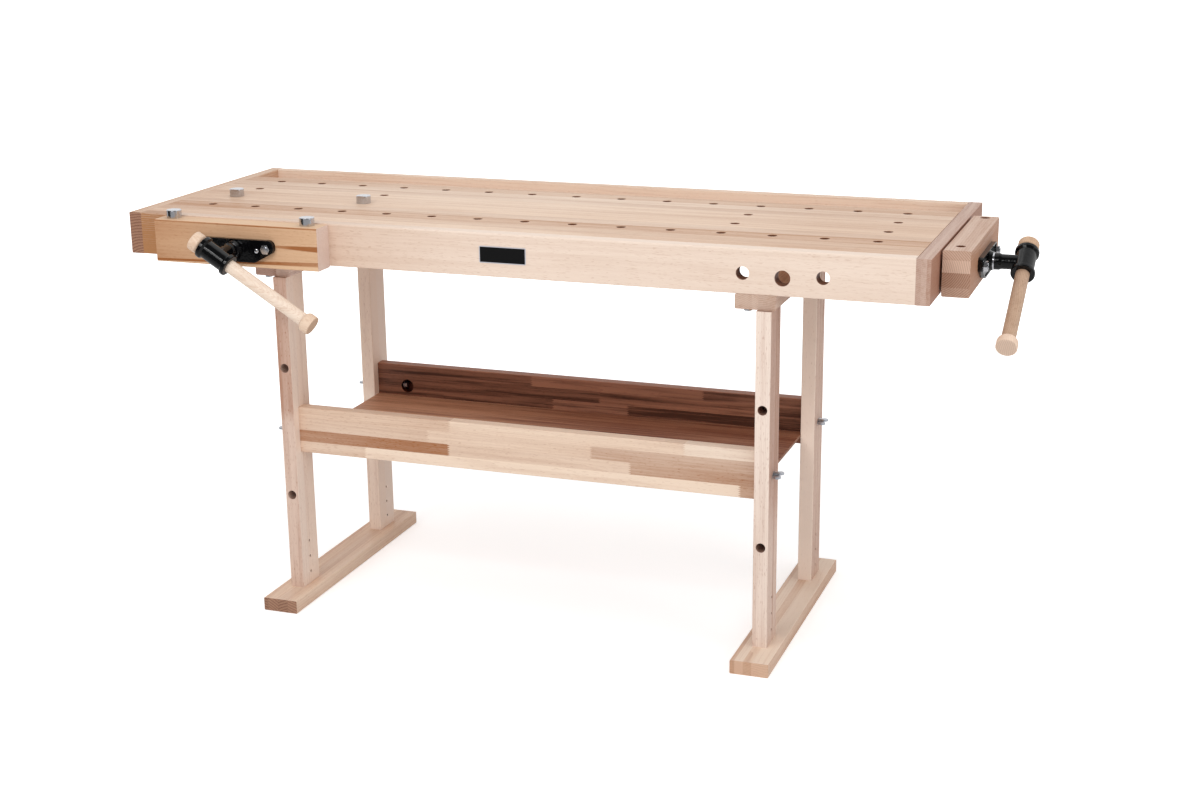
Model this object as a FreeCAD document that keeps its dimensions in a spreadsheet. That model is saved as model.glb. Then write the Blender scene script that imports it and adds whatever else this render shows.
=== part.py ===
import FreeCAD, Part
import os
import Sketcher

# Woodworking bench with a front vise and an end vise.
# X runs along the bench from its left end, Y runs back from its front apron and Z runs up from
# the floor.  The nodes are written with their origin under the middle of the whole bench.

SIZES = {
    # whole bench
    "bench_length": 1740,
    "bench_depth": 624,
    "bench_height": 850,
    # top
    "cap_thickness": 29,
    "skirt_height": 90,
    "apron_thickness": 30,
    "panel_thickness": 30,
    "rail_thickness": 23,
    "tray_width": 107,
    "tray_depth": 60,
    "tray_floor_thickness": 6,
    "tray_groove": 5,
    "rib_thickness": 30,
    "edge_ease": 2,
    "fine_ease": 0.5,
    # dog holes
    "dog_hole": 20,
    "dog_columns": 15,
    "dog_first_column": 125.3,
    "dog_right_margin": 129.3,
    "dog_rows": 4,
    "dog_first_row": 138.5,
    "dog_rear_margin": 46.5,
    "dog_inner_step": 3,
    # maker's plate on the apron
    "badge_length": 102,
    "badge_height": 35,
    "badge_thickness": 1,
    "badge_corner": 3,
    "badge_centre": 874,
    "badge_drop": 44,
    # leg frames
    "left_frame": 365,
    "right_frame_inset": 318,
    "leg_thickness": 31,
    "leg_width": 74,
    "leg_proud": 11,
    "leg_pair_pitch": 386.5,
    "foot_width": 80,
    "foot_height": 29,
    "foot_length": 610,
    "foot_toe_length": 90,
    "bearer_height": 30,
    "bearer_width": 82,
    "bearer_offset": 46,
    "tenon_depth": 18,
    "tenon_thickness": 15,
    "tenon_width": 36,
    "upper_peg_height": 531,
    "lower_peg_height": 244,
    "peg_hole_depth": 40,
    "pin_hole": 6,
    "pin_hole_depth": 14,
    "pin_hole_height": 55,
    "pin_hole_pitch": 36,
    # stretchers, shelf and their knock-down bolts
    "stretcher_thickness": 27,
    "stretcher_height": 102,
    "stretcher_bottom": 338,
    "stretcher_inset": 22,
    "cross_hole": 31,
    "cross_hole_inset": 75,
    "cross_hole_depth": 22.5,
    "shelf_thickness": 6,
    "shelf_rise": 22,
    "shelf_groove": 6,
    "rod": 8,
    "rod_clearance": 0.5,
    "rod_nut_width": 13,
    "rod_nut_height": 6.5,
    "rod_washer": 17,
    "rod_washer_thickness": 1.6,
    "wing_nut_hub": 16,
    "wing_nut_tip": 11,
    "wing_nut_height": 13,
    "wing_span": 42,
    "wing_thickness": 4,
    "wing_ear": 15,
    "wing_ear_rise": 11,
    "wing_root": 9,
    "wing_root_rise": 2,
    # hidden fixings of the top
    "top_bolt": 8,
    "top_bolt_head": 15,
    "top_bolt_head_height": 5,
    "top_bolt_bite": 24,
    "dowel": 10,
    "dowel_bite": 20,
    "dowel_rise": 22.5,
    # vises: jaws
    "front_vise_offset": 4.05,
    "spare_vise_inset": 285,
    "end_vise_offset": 15,
    "front_jaw_margin": 67.7,
    "front_jaw_thickness": 51,
    "front_jaw_height": 90.5,
    "front_jaw_drop": 2,
    "front_jaw_gap": 0,
    "front_dog_inset": 31.5,
    "end_jaw_margin": 63,
    "end_jaw_thickness": 54,
    "end_jaw_height": 91,
    "end_jaw_drop": 0,
    "end_jaw_gap": 4.6,
    "end_dog_inset": 27,
    "jaw_ease": 3,
    # vises: guides and screw
    "guide_spacing": 159,
    "guide_drop": 49,
    "screw_drop": 54.5,
    "guide_hole": 26.5,
    "screw_hole": 31.5,
    "guide_rod": 22,
    "screw": 25,
    "screw_chamfer": 2.5,
    "running_clearance": 0.1,
    "rod_reach": 230,
    "stud": 12,
    "stud_nut_width": 19,
    "stud_nut_height": 10,
    "stud_proud": 1.5,
    # vises: front plate casting
    "plate_thickness": 10,
    "plate_half_length": 95,
    "plate_top": 17.5,
    "plate_shoulder": 7,
    "plate_bottom": 31,
    "plate_flat": 50,
    "plate_corner": 13,
    "plate_bend": 16,
    "plate_rim": 3,
    "plate_recess": 2,
    "boss_base": 21,
    "boss_mouth": 18,
    "boss_length": 17,
    "plate_screw": 5,
    "plate_screw_head": 11,
    "plate_screw_head_height": 3,
    "plate_screw_bite": 25,
    "plate_screw_offset": 54.5,
    # vises: thrust ring, retaining collar and handle hub
    "thrust_ring": 17.5,
    "thrust_ring_thickness": 3,
    "collar": 20,
    "collar_thickness": 6,
    "collar_play": 0.3,
    "hub_flange": 17,
    "hub_flange_length": 9,
    "hub_neck": 15,
    "hub_cone_length": 5,
    "screw_seat_length": 26,
    "sleeve_reach": 79,
    "sleeve_barrel": 20,
    "sleeve_ring": 24,
    "sleeve_ring_width": 8,
    "sleeve_ring_ease": 2,
    "sleeve_flare": 4,
    "sleeve_half_length": 36,
    # vises: handles
    "handle_bar": 28,
    "handle_clearance": 0.3,
    "handle_travel": 194,
    "knob": 42,
    "knob_length": 24,
    "knob_shoulder": 9,
    "knob_end_ease": 3,
    "knob_tenon": 18,
    "knob_tenon_length": 20,
    "front_handle_turn": 31.8,
    "end_handle_turn": 152,
    # vises: nut casting on the inner face of the bench
    "flange_thickness": 8,
    "flange_half_length": 115,
    "flange_top": 15,
    "flange_bottom": 34,
    "flange_corner": 10,
    "guide_sleeve": 16,
    "nut_boss": 21,
    "nut_length": 40,
    "casting_taper": 2,
    "flange_screw_inset": 9,
    # bench dogs
    "dog_head": 32,
    "dog_head_height": 17,
    "dog_flat": 13.5,
    "dog_head_edge": 1.5,
    "dog_shank_length": 55,
    "dog_clearance": 0.05,
}

# Places that follow from the sizes.
PLACES = {
    "end_vise_reach": "size.end_jaw_gap + size.end_jaw_thickness",
    "hub_reach": "size.sleeve_reach + size.sleeve_ring",
    "origin_x": "(size.bench_length + place.end_vise_reach + place.hub_reach) / 2",
    "origin_y": "(size.bench_depth - size.front_jaw_thickness - place.hub_reach) / 2",
    # top
    "skirt_bottom": "size.bench_height - size.skirt_height",
    "right_cap": "size.bench_length - size.cap_thickness",
    "panel_bottom": "size.bench_height - size.panel_thickness",
    "rail_front": "size.bench_depth - size.rail_thickness",
    "panel_back": "place.rail_front - size.tray_width",
    "tray_top": "size.bench_height - size.tray_depth",
    "tray_bottom": "place.tray_top - size.tray_floor_thickness",
    "dog_last_row": "place.panel_back - size.dog_rear_margin",
    "dog_row_pitch": "(place.dog_last_row - size.dog_first_row) / (size.dog_rows - 1)",
    "dog_run": "size.bench_length - size.dog_right_margin - size.dog_first_column",
    "dog_column_pitch": "place.dog_run / (size.dog_columns - 1)",
    "dog_inner_run": "place.dog_run - size.dog_inner_step * place.dog_column_pitch",
    "dog_inner_column": "size.dog_first_column + size.dog_inner_step * place.dog_column_pitch",
    "dowel_height": "place.skirt_bottom + size.dowel_rise",
    # legs
    "bearer_bottom": "place.skirt_bottom - size.bearer_height",
    "front_leg": "-size.leg_proud",
    "rear_leg": "size.leg_pair_pitch - size.leg_proud",
    "right_frame": "size.bench_length - size.right_frame_inset",
    "left_inner": "size.left_frame + size.leg_thickness / 2",
    "right_inner": "place.right_frame - size.leg_thickness / 2",
    "front_stretcher": "place.front_leg + size.stretcher_inset",
    "rear_stretcher": "place.rear_leg + size.stretcher_inset",
    "stretcher_centre": "size.stretcher_bottom + size.stretcher_height / 2",
    "shelf_bottom": "size.stretcher_bottom + size.shelf_rise",
    "shelf_top": "place.shelf_bottom + size.shelf_thickness",
    "foot_front": "-size.foot_toe_length",
    # vises, each centred near the middle of the two dog columns or rows that its jaw reaches
    "front_vise": "(size.dog_first_column + place.dog_inner_column) / 2 + size.front_vise_offset",
    "front_jaw_length": "place.dog_inner_column - size.dog_first_column + size.front_jaw_margin",
    "end_vise": "(size.dog_first_row + place.dog_last_row) / 2 - size.end_vise_offset",
    "end_jaw_length": "place.dog_last_row - size.dog_first_row + size.end_jaw_margin",
    "spare_vise": "size.bench_length - size.spare_vise_inset",
    "guide_height": "size.bench_height - size.guide_drop",
    "screw_height": "size.bench_height - size.screw_drop",
    "front_face_x": "place.front_vise - place.origin_x",
    "front_face_y": "-size.front_jaw_thickness - place.origin_y",
    "end_face_x": "size.bench_length + place.end_vise_reach - place.origin_x",
    "end_face_y": "place.end_vise - place.origin_y",
    "front_wall": "size.front_jaw_thickness + size.front_jaw_gap + size.apron_thickness",
    "end_wall": "size.end_jaw_thickness + size.end_jaw_gap + size.cap_thickness",
    "ring_front": "size.boss_length + size.thrust_ring_thickness",
    "screw_front": "place.ring_front + size.screw_seat_length",
    "guide_half": "size.guide_spacing / 2",
    "plate_web": "size.plate_thickness - size.plate_recess",
    "plate_slope": "(size.plate_bottom - size.plate_shoulder) / (size.plate_half_length - size.plate_flat)",
    "plate_rim_rise": "size.plate_rim * sqrt(1 + place.plate_slope * place.plate_slope)",
    "flange_screw_across": "size.flange_half_length - size.flange_screw_inset",
    "flange_screw_low": "place.guide_height - size.flange_bottom + size.flange_screw_inset",
    "flange_screw_high": "place.guide_height + size.flange_top - size.flange_screw_inset",
    "flange_screw_bite": "size.plate_screw_bite - size.flange_thickness",
    # a flat washer meets the round wall of its cross hole along two edges
    "washer_seat": "size.leg_thickness + size.cross_hole_inset"
                   " - sqrt(size.cross_hole * size.cross_hole - size.rod_washer * size.rod_washer) / 2",
}

doc = FreeCAD.newDocument("WoodworkingBench")
sheet = doc.addObject("Spreadsheet::Sheet", "size")
place = doc.addObject("App::VarSet", "place")
nodes = []

# Lengths this close are taken as equal, and so are unit directions.
CLOSE = 0.01


def fill_sheet():
    for row, (alias, number) in enumerate(SIZES.items(), start=1):
        sheet.set(f"A{row}", alias)
        sheet.set(f"B{row}", str(number))
        sheet.setAlias(f"B{row}", alias)
    doc.recompute()
    for name, expression in PLACES.items():
        place.addProperty("App::PropertyFloat", name)
        place.setExpression(name, expression)
        doc.recompute()


def number(expression):
    return float(sheet.evalExpression(expression))


# Sketches and features

PLANES = {"X": "YZ_Plane", "Y": "XZ_Plane", "Z": "XY_Plane"}


def sketch_on(body, name, normal, height="0"):
    """A sketch square to one axis, at a height along that axis."""
    sketch = body.newObject("Sketcher::SketchObject", name)
    role = PLANES[normal]
    origin_plane = next(item for item in body.Origin.OriginFeatures if item.Role == role)
    sketch.AttachmentSupport = [(origin_plane, "")]
    sketch.MapMode = "FlatFace"
    # the normal of the XZ plane points along -Y
    offset = f"-({height})" if normal == "Y" else height
    sketch.setExpression("AttachmentOffset.Base.z", offset)
    return sketch


def pin_point(sketch, edge, end, across, up):
    """Bind one point of an edge to its two coordinates."""
    for kind, expression in (("DistanceX", across), ("DistanceY", up)):
        rule = Sketcher.Constraint(kind, -1, 1, edge, end, number(expression))
        index = sketch.addConstraint(rule)
        sketch.setExpression(f"Constraints[{index}]", expression)


def add_outline(sketch, corners, radii=()):
    """A closed outline through corners given as expressions, the corners rounded by any radii."""
    points = [FreeCAD.Vector(number(across), number(up), 0) for across, up in corners]
    count = len(points)
    first = sketch.GeometryCount
    for step in range(count):
        sketch.addGeometry(Part.LineSegment(points[step], points[(step + 1) % count]))
    for step in range(count):
        follower = first + (step + 1) % count
        sketch.addConstraint(Sketcher.Constraint("Coincident", first + step, 2, follower, 1))
    for step, (across, up) in enumerate(corners):
        pin_point(sketch, first + step, 1, across, up)
    for step, radius in enumerate(radii):
        arc = sketch.GeometryCount
        sketch.fillet(first + step, 1, number(radius), True, True)
        index = sketch.addConstraint(Sketcher.Constraint("Radius", arc, number(radius)))
        sketch.setExpression(f"Constraints[{index}]", radius)


def add_rectangle(sketch, left, bottom, right, top):
    add_outline(sketch, [(left, bottom), (right, bottom), (right, top), (left, top)])


def add_circle(sketch, across, up, diameter):
    centre = FreeCAD.Vector(number(across), number(up), 0)
    radius = number(diameter) / 2
    edge = sketch.addGeometry(Part.Circle(centre, FreeCAD.Vector(0, 0, 1), radius))
    pin_point(sketch, edge, 3, across, up)
    index = sketch.addConstraint(Sketcher.Constraint("Diameter", edge, radius * 2))
    sketch.setExpression(f"Constraints[{index}]", diameter)


def pad(body, sketch, length, backwards=False):
    feature = body.newObject("PartDesign::Pad", sketch.Name + "_pad")
    feature.Profile = sketch
    feature.setExpression("Length", length)
    feature.Reversed = backwards
    doc.recompute()
    return feature


def cut(body, sketch, length, backwards=False):
    """A pocket; it must take material away."""
    before = body.Shape.Volume
    feature = body.newObject("PartDesign::Pocket", sketch.Name + "_cut")
    feature.Profile = sketch
    feature.setExpression("Length", length)
    feature.Reversed = backwards
    doc.recompute()
    if body.Shape.Volume >= before:
        raise ValueError(f"{sketch.Name} cuts nothing")
    return feature


def drill(body, name, normal, start, depth, centres, diameter, backwards=False):
    """Round holes from one plane.  They run along -X, +Y or -Z unless turned backwards."""
    sketch = sketch_on(body, name, normal, start)
    for across, up in centres:
        add_circle(sketch, across, up, diameter)
    return cut(body, sketch, depth, backwards)


def revolve(body, sketch, axis):
    feature = body.newObject("PartDesign::Revolution", sketch.Name + "_turned")
    feature.Profile = sketch
    feature.ReferenceAxis = (sketch, [axis])
    feature.Angle = 360
    doc.recompute()
    return feature


def repeat_along_x(body, feature, run, copies):
    pattern = body.newObject("PartDesign::LinearPattern", feature.Name + "_row")
    pattern.Originals = [feature]
    pattern.Direction = (feature.Profile[0], ["H_Axis"])
    pattern.setExpression("Length", run)
    pattern.setExpression("Occurrences", copies)
    body.Tip = pattern
    doc.recompute()
    return pattern


DIRECTIONS = {
    "X": FreeCAD.Vector(1, 0, 0),
    "Y": FreeCAD.Vector(0, 1, 0),
    "Z": FreeCAD.Vector(0, 0, 1),
}


def edges_along(shape, axis):
    """Names of the straight edges that run along one axis."""
    names = []
    for index, edge in enumerate(shape.Edges, start=1):
        if edge.Curve.TypeId != "Part::GeomLine":
            continue
        if edge.tangentAt(edge.FirstParameter).cross(DIRECTIONS[axis]).Length < CLOSE:
            names.append(f"Edge{index}")
    return names


def round_edges(body, names, radius):
    base = body.Tip
    feature = body.newObject("PartDesign::Fillet", f"{body.Name}_eased{len(body.Group)}")
    feature.Base = (base, names)
    feature.setExpression("Radius", radius)
    doc.recompute()
    return feature


def rim_edges(shape, radius, axis=None, level="0"):
    """Names of the circular edges of a radius, or of those at one level along an axis."""
    names = []
    for index, edge in enumerate(shape.Edges, start=1):
        curve = edge.Curve
        if curve.TypeId != "Part::GeomCircle" or abs(curve.Radius - number(radius)) > CLOSE:
            continue
        if axis is None or abs(getattr(curve.Center, axis.lower()) - number(level)) < CLOSE:
            names.append(f"Edge{index}")
    return names


# Ways to place a node

def stand(obj):
    """Place a node that is drawn in the bench's own frame."""
    obj.setExpression("Placement.Base.x", "-place.origin_x")
    obj.setExpression("Placement.Base.y", "-place.origin_y")
    nodes.append(obj)
    return obj


HEADINGS = {"front": "0", "end": "90"}


def mount(obj, side, height="0", turn="0"):
    """Place a node drawn in a vise's frame: X along the jaw, -Y out of its face, Z up."""
    spot = f"vector(place.{side}_face_x; place.{side}_face_y; {height})"
    obj.setExpression("Placement", f"placement({spot}; rotation({HEADINGS[side]}; {turn}; 0))")
    nodes.append(obj)
    return obj


def group(name, pieces):
    """Several separate solids as one node."""
    doc.recompute()
    compound = doc.addObject("Part::Compound", name)
    compound.Links = pieces
    return compound


# Primitives along an axis, for fasteners and rods

TURNS = {
    "X": FreeCAD.Rotation(FreeCAD.Vector(0, 1, 0), 90),
    "Y": FreeCAD.Rotation(FreeCAD.Vector(1, 0, 0), -90),
    "Z": FreeCAD.Rotation(),
}


def locate(obj, axis, spot):
    obj.Placement = FreeCAD.Placement(FreeCAD.Vector(), TURNS[axis])
    for letter, expression in zip("xyz", spot):
        obj.setExpression(f"Placement.Base.{letter}", expression)
    return obj


def rod_piece(name, axis, spot, diameter, length):
    """A round bar that starts at a spot and runs along +axis."""
    bar = doc.addObject("Part::Cylinder", name)
    bar.setExpression("Radius", f"({diameter}) / 2")
    bar.setExpression("Height", length)
    return locate(bar, axis, spot)


def hexagon(name, axis, spot, width, length):
    """A hexagonal bar of a width across its flats."""
    prism = doc.addObject("Part::Prism", name)
    prism.Polygon = 6
    prism.setExpression("Circumradius", f"({width}) / sqrt(3)")
    prism.setExpression("Height", length)
    return locate(prism, axis, spot)


def without(name, base, tool):
    result = doc.addObject("Part::Cut", name)
    result.Base = base
    result.Tool = tool
    return result


def joined(name, pieces):
    result = doc.addObject("Part::MultiFuse", name)
    result.Shapes = pieces
    result.Refine = True
    return result


def drilled_nut(name, axis, spot, width, length, bore):
    blank = hexagon(name + "_blank", axis, spot, width, length)
    hole = rod_piece(name + "_bore", axis, spot, bore, length)
    return without(name, blank, hole)


def drilled_disc(name, axis, spot, diameter, length, bore):
    blank = rod_piece(name + "_blank", axis, spot, diameter, length)
    hole = rod_piece(name + "_bore", axis, spot, bore, length)
    return without(name, blank, hole)


# Boards

def board(name, across, deep, high, grain, ease="size.edge_ease"):
    """A board between limits (low, high) in X, Y and Z, its four edges along the grain eased."""
    body = doc.addObject("PartDesign::Body", name)
    sketch = sketch_on(body, name + "_section", "Z", high[0])
    add_rectangle(sketch, across[0], deep[0], across[1], deep[1])
    pad(body, sketch, f"{high[1]} - ({high[0]})")
    round_edges(body, edges_along(body.Shape, grain), ease)
    return body


def guide_centres(centre):
    return [(f"{centre} - place.guide_half", "place.guide_height"),
            (f"{centre} + place.guide_half", "place.guide_height")]


def drill_vise_holes(body, label, normal, start, depth, centre):
    """The two guide holes and the screw hole that one vise passes through."""
    drill(body, f"{label}_guide_holes", normal, start, depth, guide_centres(centre), "size.guide_hole")
    middle = [(centre, "place.screw_height")]
    drill(body, f"{label}_screw_hole", normal, start, depth, middle, "size.screw_hole")


DOWELS = {
    "apron": ("size.apron_thickness / 2", "place.dowel_height"),
    "panel_front": ("size.dog_first_row", "size.bench_height - size.panel_thickness / 2"),
    "panel_rear": ("place.dog_last_row - place.dog_row_pitch / 2",
                   "size.bench_height - size.panel_thickness / 2"),
    "rail": ("size.bench_depth - size.rail_thickness / 2", "place.dowel_height"),
}


def bore_dowels(body, name, labels):
    """Dowel holes in both ends of a board that lies between the caps."""
    centres = [DOWELS[label] for label in labels]
    drill(body, name + "_left_dowels", "X", "size.cap_thickness", "size.dowel_bite", centres,
          "size.dowel", backwards=True)
    drill(body, name + "_right_dowels", "X", "place.right_cap", "size.dowel_bite", centres,
          "size.dowel")


TOP_BOLTS = {"left": "size.left_frame - size.bearer_offset / 2 - size.leg_thickness / 2",
             "right": "place.right_frame - size.bearer_offset / 2 - size.leg_thickness / 2"}


def bore_top_bolts(body, name, row):
    """Holes in the underside of the skirt for the bolts that come up through the bearers."""
    centres = [(column, row) for column in TOP_BOLTS.values()]
    drill(body, name + "_bolt_holes", "Z", "place.skirt_bottom", "size.top_bolt_bite", centres,
          "size.top_bolt", backwards=True)


FRONT_BOLT_ROW = "size.apron_thickness / 2"
REAR_BOLT_ROW = "place.panel_back - size.rib_thickness / 2"


def make_panel():
    body = board("worktop_panel", ("size.cap_thickness", "place.right_cap"),
                 ("size.apron_thickness", "place.panel_back"),
                 ("place.panel_bottom", "size.bench_height"), "X", "size.fine_ease")
    bore_dowels(body, "panel", ["panel_front", "panel_rear"])
    outer = [("size.dog_first_column", "size.dog_first_row"),
             ("size.dog_first_column", "place.dog_last_row")]
    feature = drill(body, "outer_dog_holes", "Z", "size.bench_height", "size.panel_thickness",
                    outer, "size.dog_hole")
    repeat_along_x(body, feature, "place.dog_run", "size.dog_columns")
    inner = [(column, f"size.dog_first_row + {step} * place.dog_row_pitch")
             for column in ("size.dog_first_column", "place.dog_inner_column")
             for step in range(1, SIZES["dog_rows"] - 1)]
    feature = drill(body, "inner_dog_holes", "Z", "size.bench_height", "size.panel_thickness",
                    inner, "size.dog_hole")
    repeat_along_x(body, feature, "place.dog_inner_run", "2")
    stand(body)


def make_apron():
    body = board("front_apron", ("size.cap_thickness", "place.right_cap"),
                 ("0", "size.apron_thickness"),
                 ("place.skirt_bottom", "size.bench_height"), "X")
    for label, centre in (("front_vise", "place.front_vise"), ("spare_vise", "place.spare_vise")):
        drill_vise_holes(body, label, "Y", "0", "size.apron_thickness", centre)
    drill(body, "apron_screw_holes", "Y", "size.apron_thickness", "place.flange_screw_bite",
          flange_screw_places("place.front_vise"), "size.plate_screw", backwards=True)
    bore_dowels(body, "apron", ["apron"])
    bore_top_bolts(body, "apron", FRONT_BOLT_ROW)
    stand(body)


def make_caps():
    tray = ("place.panel_back", "place.tray_bottom", "place.rail_front", "place.tray_top")
    for name, inner, low, high, backwards in (
            ("left_end_cap", "size.cap_thickness", "0", "size.cap_thickness", False),
            ("right_end_cap", "place.right_cap", "place.right_cap", "size.bench_length", True)):
        body = board(name, (low, high), ("0", "size.bench_depth"),
                     ("place.skirt_bottom", "size.bench_height"), "Y")
        groove = sketch_on(body, name + "_groove", "X", inner)
        add_rectangle(groove, *tray)
        cut(body, groove, "size.tray_groove", backwards)
        drill(body, name + "_dowels", "X", inner, "size.dowel_bite", DOWELS.values(), "size.dowel",
              backwards)
        if name == "right_end_cap":
            drill_vise_holes(body, "end_vise", "X", "size.bench_length", "size.cap_thickness",
                             "place.end_vise")
            drill(body, "cap_screw_holes", "X", inner, "place.flange_screw_bite",
                  flange_screw_places("place.end_vise"), "size.plate_screw", backwards)
        stand(body)


def make_tray():
    lengths = ("size.cap_thickness", "place.right_cap")
    rail = board("back_rail", lengths, ("place.rail_front", "size.bench_depth"),
                 ("place.skirt_bottom", "size.bench_height"), "X")
    groove = sketch_on(rail, "rail_groove", "Y", "place.rail_front")
    add_rectangle(groove, lengths[0], "place.tray_bottom", lengths[1], "place.tray_top")
    cut(rail, groove, "size.tray_groove")
    bore_dowels(rail, "rail", ["rail"])
    stand(rail)

    rib = board("rear_rib", lengths, ("place.panel_back - size.rib_thickness", "place.panel_back"),
                ("place.skirt_bottom", "place.panel_bottom"), "X", "size.fine_ease")
    groove = sketch_on(rib, "rib_groove", "Y", "place.panel_back")
    add_rectangle(groove, lengths[0], "place.tray_bottom", lengths[1], "place.tray_top")
    cut(rib, groove, "size.tray_groove", backwards=True)
    bore_top_bolts(rib, "rib", REAR_BOLT_ROW)
    stand(rib)

    floor = board("tray_floor",
                  ("size.cap_thickness - size.tray_groove", "place.right_cap + size.tray_groove"),
                  ("place.panel_back - size.tray_groove", "place.rail_front + size.tray_groove"),
                  ("place.tray_bottom", "place.tray_top"), "X", "size.fine_ease")
    # the floor stays inside the grooves of the rib and the rail where it passes into the caps
    for label, low, high in (("front", "place.panel_back - size.tray_groove", "place.panel_back"),
                             ("back", "place.rail_front", "place.rail_front + size.tray_groove")):
        corners = sketch_on(floor, f"tray_{label}_corners", "Z", "place.tray_top")
        add_rectangle(corners, "size.cap_thickness - size.tray_groove", low, "size.cap_thickness", high)
        add_rectangle(corners, "place.right_cap", low, "place.right_cap + size.tray_groove", high)
        cut(floor, corners, "size.tray_floor_thickness")
    stand(floor)


def make_badge():
    body = doc.addObject("PartDesign::Body", "badge_plate")
    sketch = sketch_on(body, "badge_face", "Y", "0")
    add_rectangle(sketch, "size.badge_centre - size.badge_length / 2",
                  "size.bench_height - size.badge_drop - size.badge_height / 2",
                  "size.badge_centre + size.badge_length / 2",
                  "size.bench_height - size.badge_drop + size.badge_height / 2")
    pad(body, sketch, "size.badge_thickness")
    round_edges(body, edges_along(body.Shape, "Y"), "size.badge_corner")
    stand(body)


def make_cap_dowels():
    pieces = []
    for end, joint in (("left", "size.cap_thickness"), ("right", "place.right_cap")):
        for label, (row, height) in DOWELS.items():
            spot = (f"{joint} - size.dowel_bite", row, height)
            pieces.append(rod_piece(f"{end}_{label}_dowel", "X", spot, "size.dowel", "2 * size.dowel_bite"))
    stand(group("cap_dowels", pieces))


def make_top_bolts():
    pieces = []
    for end, column in TOP_BOLTS.items():
        for label, row in (("front", FRONT_BOLT_ROW), ("rear", REAR_BOLT_ROW)):
            name = f"{end}_{label}_top_bolt"
            shank = rod_piece(name + "_shank", "Z", (column, row, "place.bearer_bottom"), "size.top_bolt",
                              "size.bearer_height + size.top_bolt_bite")
            under = "place.bearer_bottom - size.top_bolt_head_height"
            head = hexagon(name + "_head", "Z", (column, row, under), "size.top_bolt_head",
                           "size.top_bolt_head_height")
            pieces.append(joined(name, [shank, head]))
    stand(group("top_fixing_bolts", pieces))


# Leg frames

LEG_ROWS = {"front": "place.front_leg", "rear": "place.rear_leg"}
STRETCHER_ROWS = {"front": "place.front_stretcher", "rear": "place.rear_stretcher"}


def tenon_box(frame, leg_front):
    """Limits in X and Y of the tenon in the middle of a leg's section."""
    middle = f"{leg_front} + size.leg_width / 2"
    return (f"{frame} - size.tenon_thickness / 2", f"{middle} - size.tenon_width / 2",
            f"{frame} + size.tenon_thickness / 2", f"{middle} + size.tenon_width / 2")


def make_foot(side, frame):
    body = board(f"{side}_foot", (f"{frame} - size.foot_width / 2", f"{frame} + size.foot_width / 2"),
                 ("place.foot_front", "place.foot_front + size.foot_length"),
                 ("0", "size.foot_height"), "Y")
    mortises = sketch_on(body, f"{side}_foot_mortises", "Z", "size.foot_height")
    for leg_front in LEG_ROWS.values():
        add_rectangle(mortises, *tenon_box(frame, leg_front))
    cut(body, mortises, "size.tenon_depth")
    stand(body)


def make_bearer(side, frame):
    left = f"{frame} - size.leg_thickness / 2 - size.bearer_offset"
    body = board(f"{side}_bearer", (left, f"{left} + size.bearer_width"),
                 ("0", "place.panel_back"),
                 ("place.bearer_bottom", "place.skirt_bottom"), "Y", "size.jaw_ease")
    mortises = sketch_on(body, f"{side}_bearer_mortises", "Z", "place.bearer_bottom")
    for leg_front in LEG_ROWS.values():
        add_rectangle(mortises, *tenon_box(frame, leg_front))
    cut(body, mortises, "size.tenon_depth", backwards=True)
    centres = [(TOP_BOLTS[side], row) for row in (FRONT_BOLT_ROW, REAR_BOLT_ROW)]
    drill(body, f"{side}_bearer_bolt_holes", "Z", "place.skirt_bottom", "size.bearer_height", centres,
          "size.top_bolt")
    stand(body)


def make_leg(side, frame, row, leg_front, stretcher_front):
    name = f"{side}_{row}_leg"
    faces = (f"{frame} - size.leg_thickness / 2", f"{frame} + size.leg_thickness / 2")
    body = board(name, faces, (leg_front, f"{leg_front} + size.leg_width"),
                 ("size.foot_height", "place.bearer_bottom"), "Z")
    for end, start, backwards in (("lower", "size.foot_height", True),
                                  ("upper", "place.bearer_bottom", False)):
        tenon = sketch_on(body, f"{name}_{end}_tenon", "Z", start)
        add_rectangle(tenon, *tenon_box(frame, leg_front))
        pad(body, tenon, "size.tenon_depth", backwards)
    middle = f"{leg_front} + size.leg_width / 2"
    pins = [(middle, f"size.pin_hole_height + {step} * size.pin_hole_pitch") for step in range(3)]
    drill(body, name + "_pin_holes", "X", faces[1], "size.pin_hole_depth", pins, "size.pin_hole")
    rod_row = f"{stretcher_front} + size.stretcher_thickness / 2"
    drill(body, name + "_rod_hole", "X", faces[1], "size.leg_thickness",
          [(rod_row, "place.stretcher_centre")], "size.rod + 2 * size.rod_clearance")
    if row == "front":
        pegs = [(frame, "size.upper_peg_height"), (frame, "size.lower_peg_height")]
        drill(body, name + "_peg_holes", "Y", leg_front, "size.peg_hole_depth", pegs, "size.dog_hole")
    stand(body)


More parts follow.
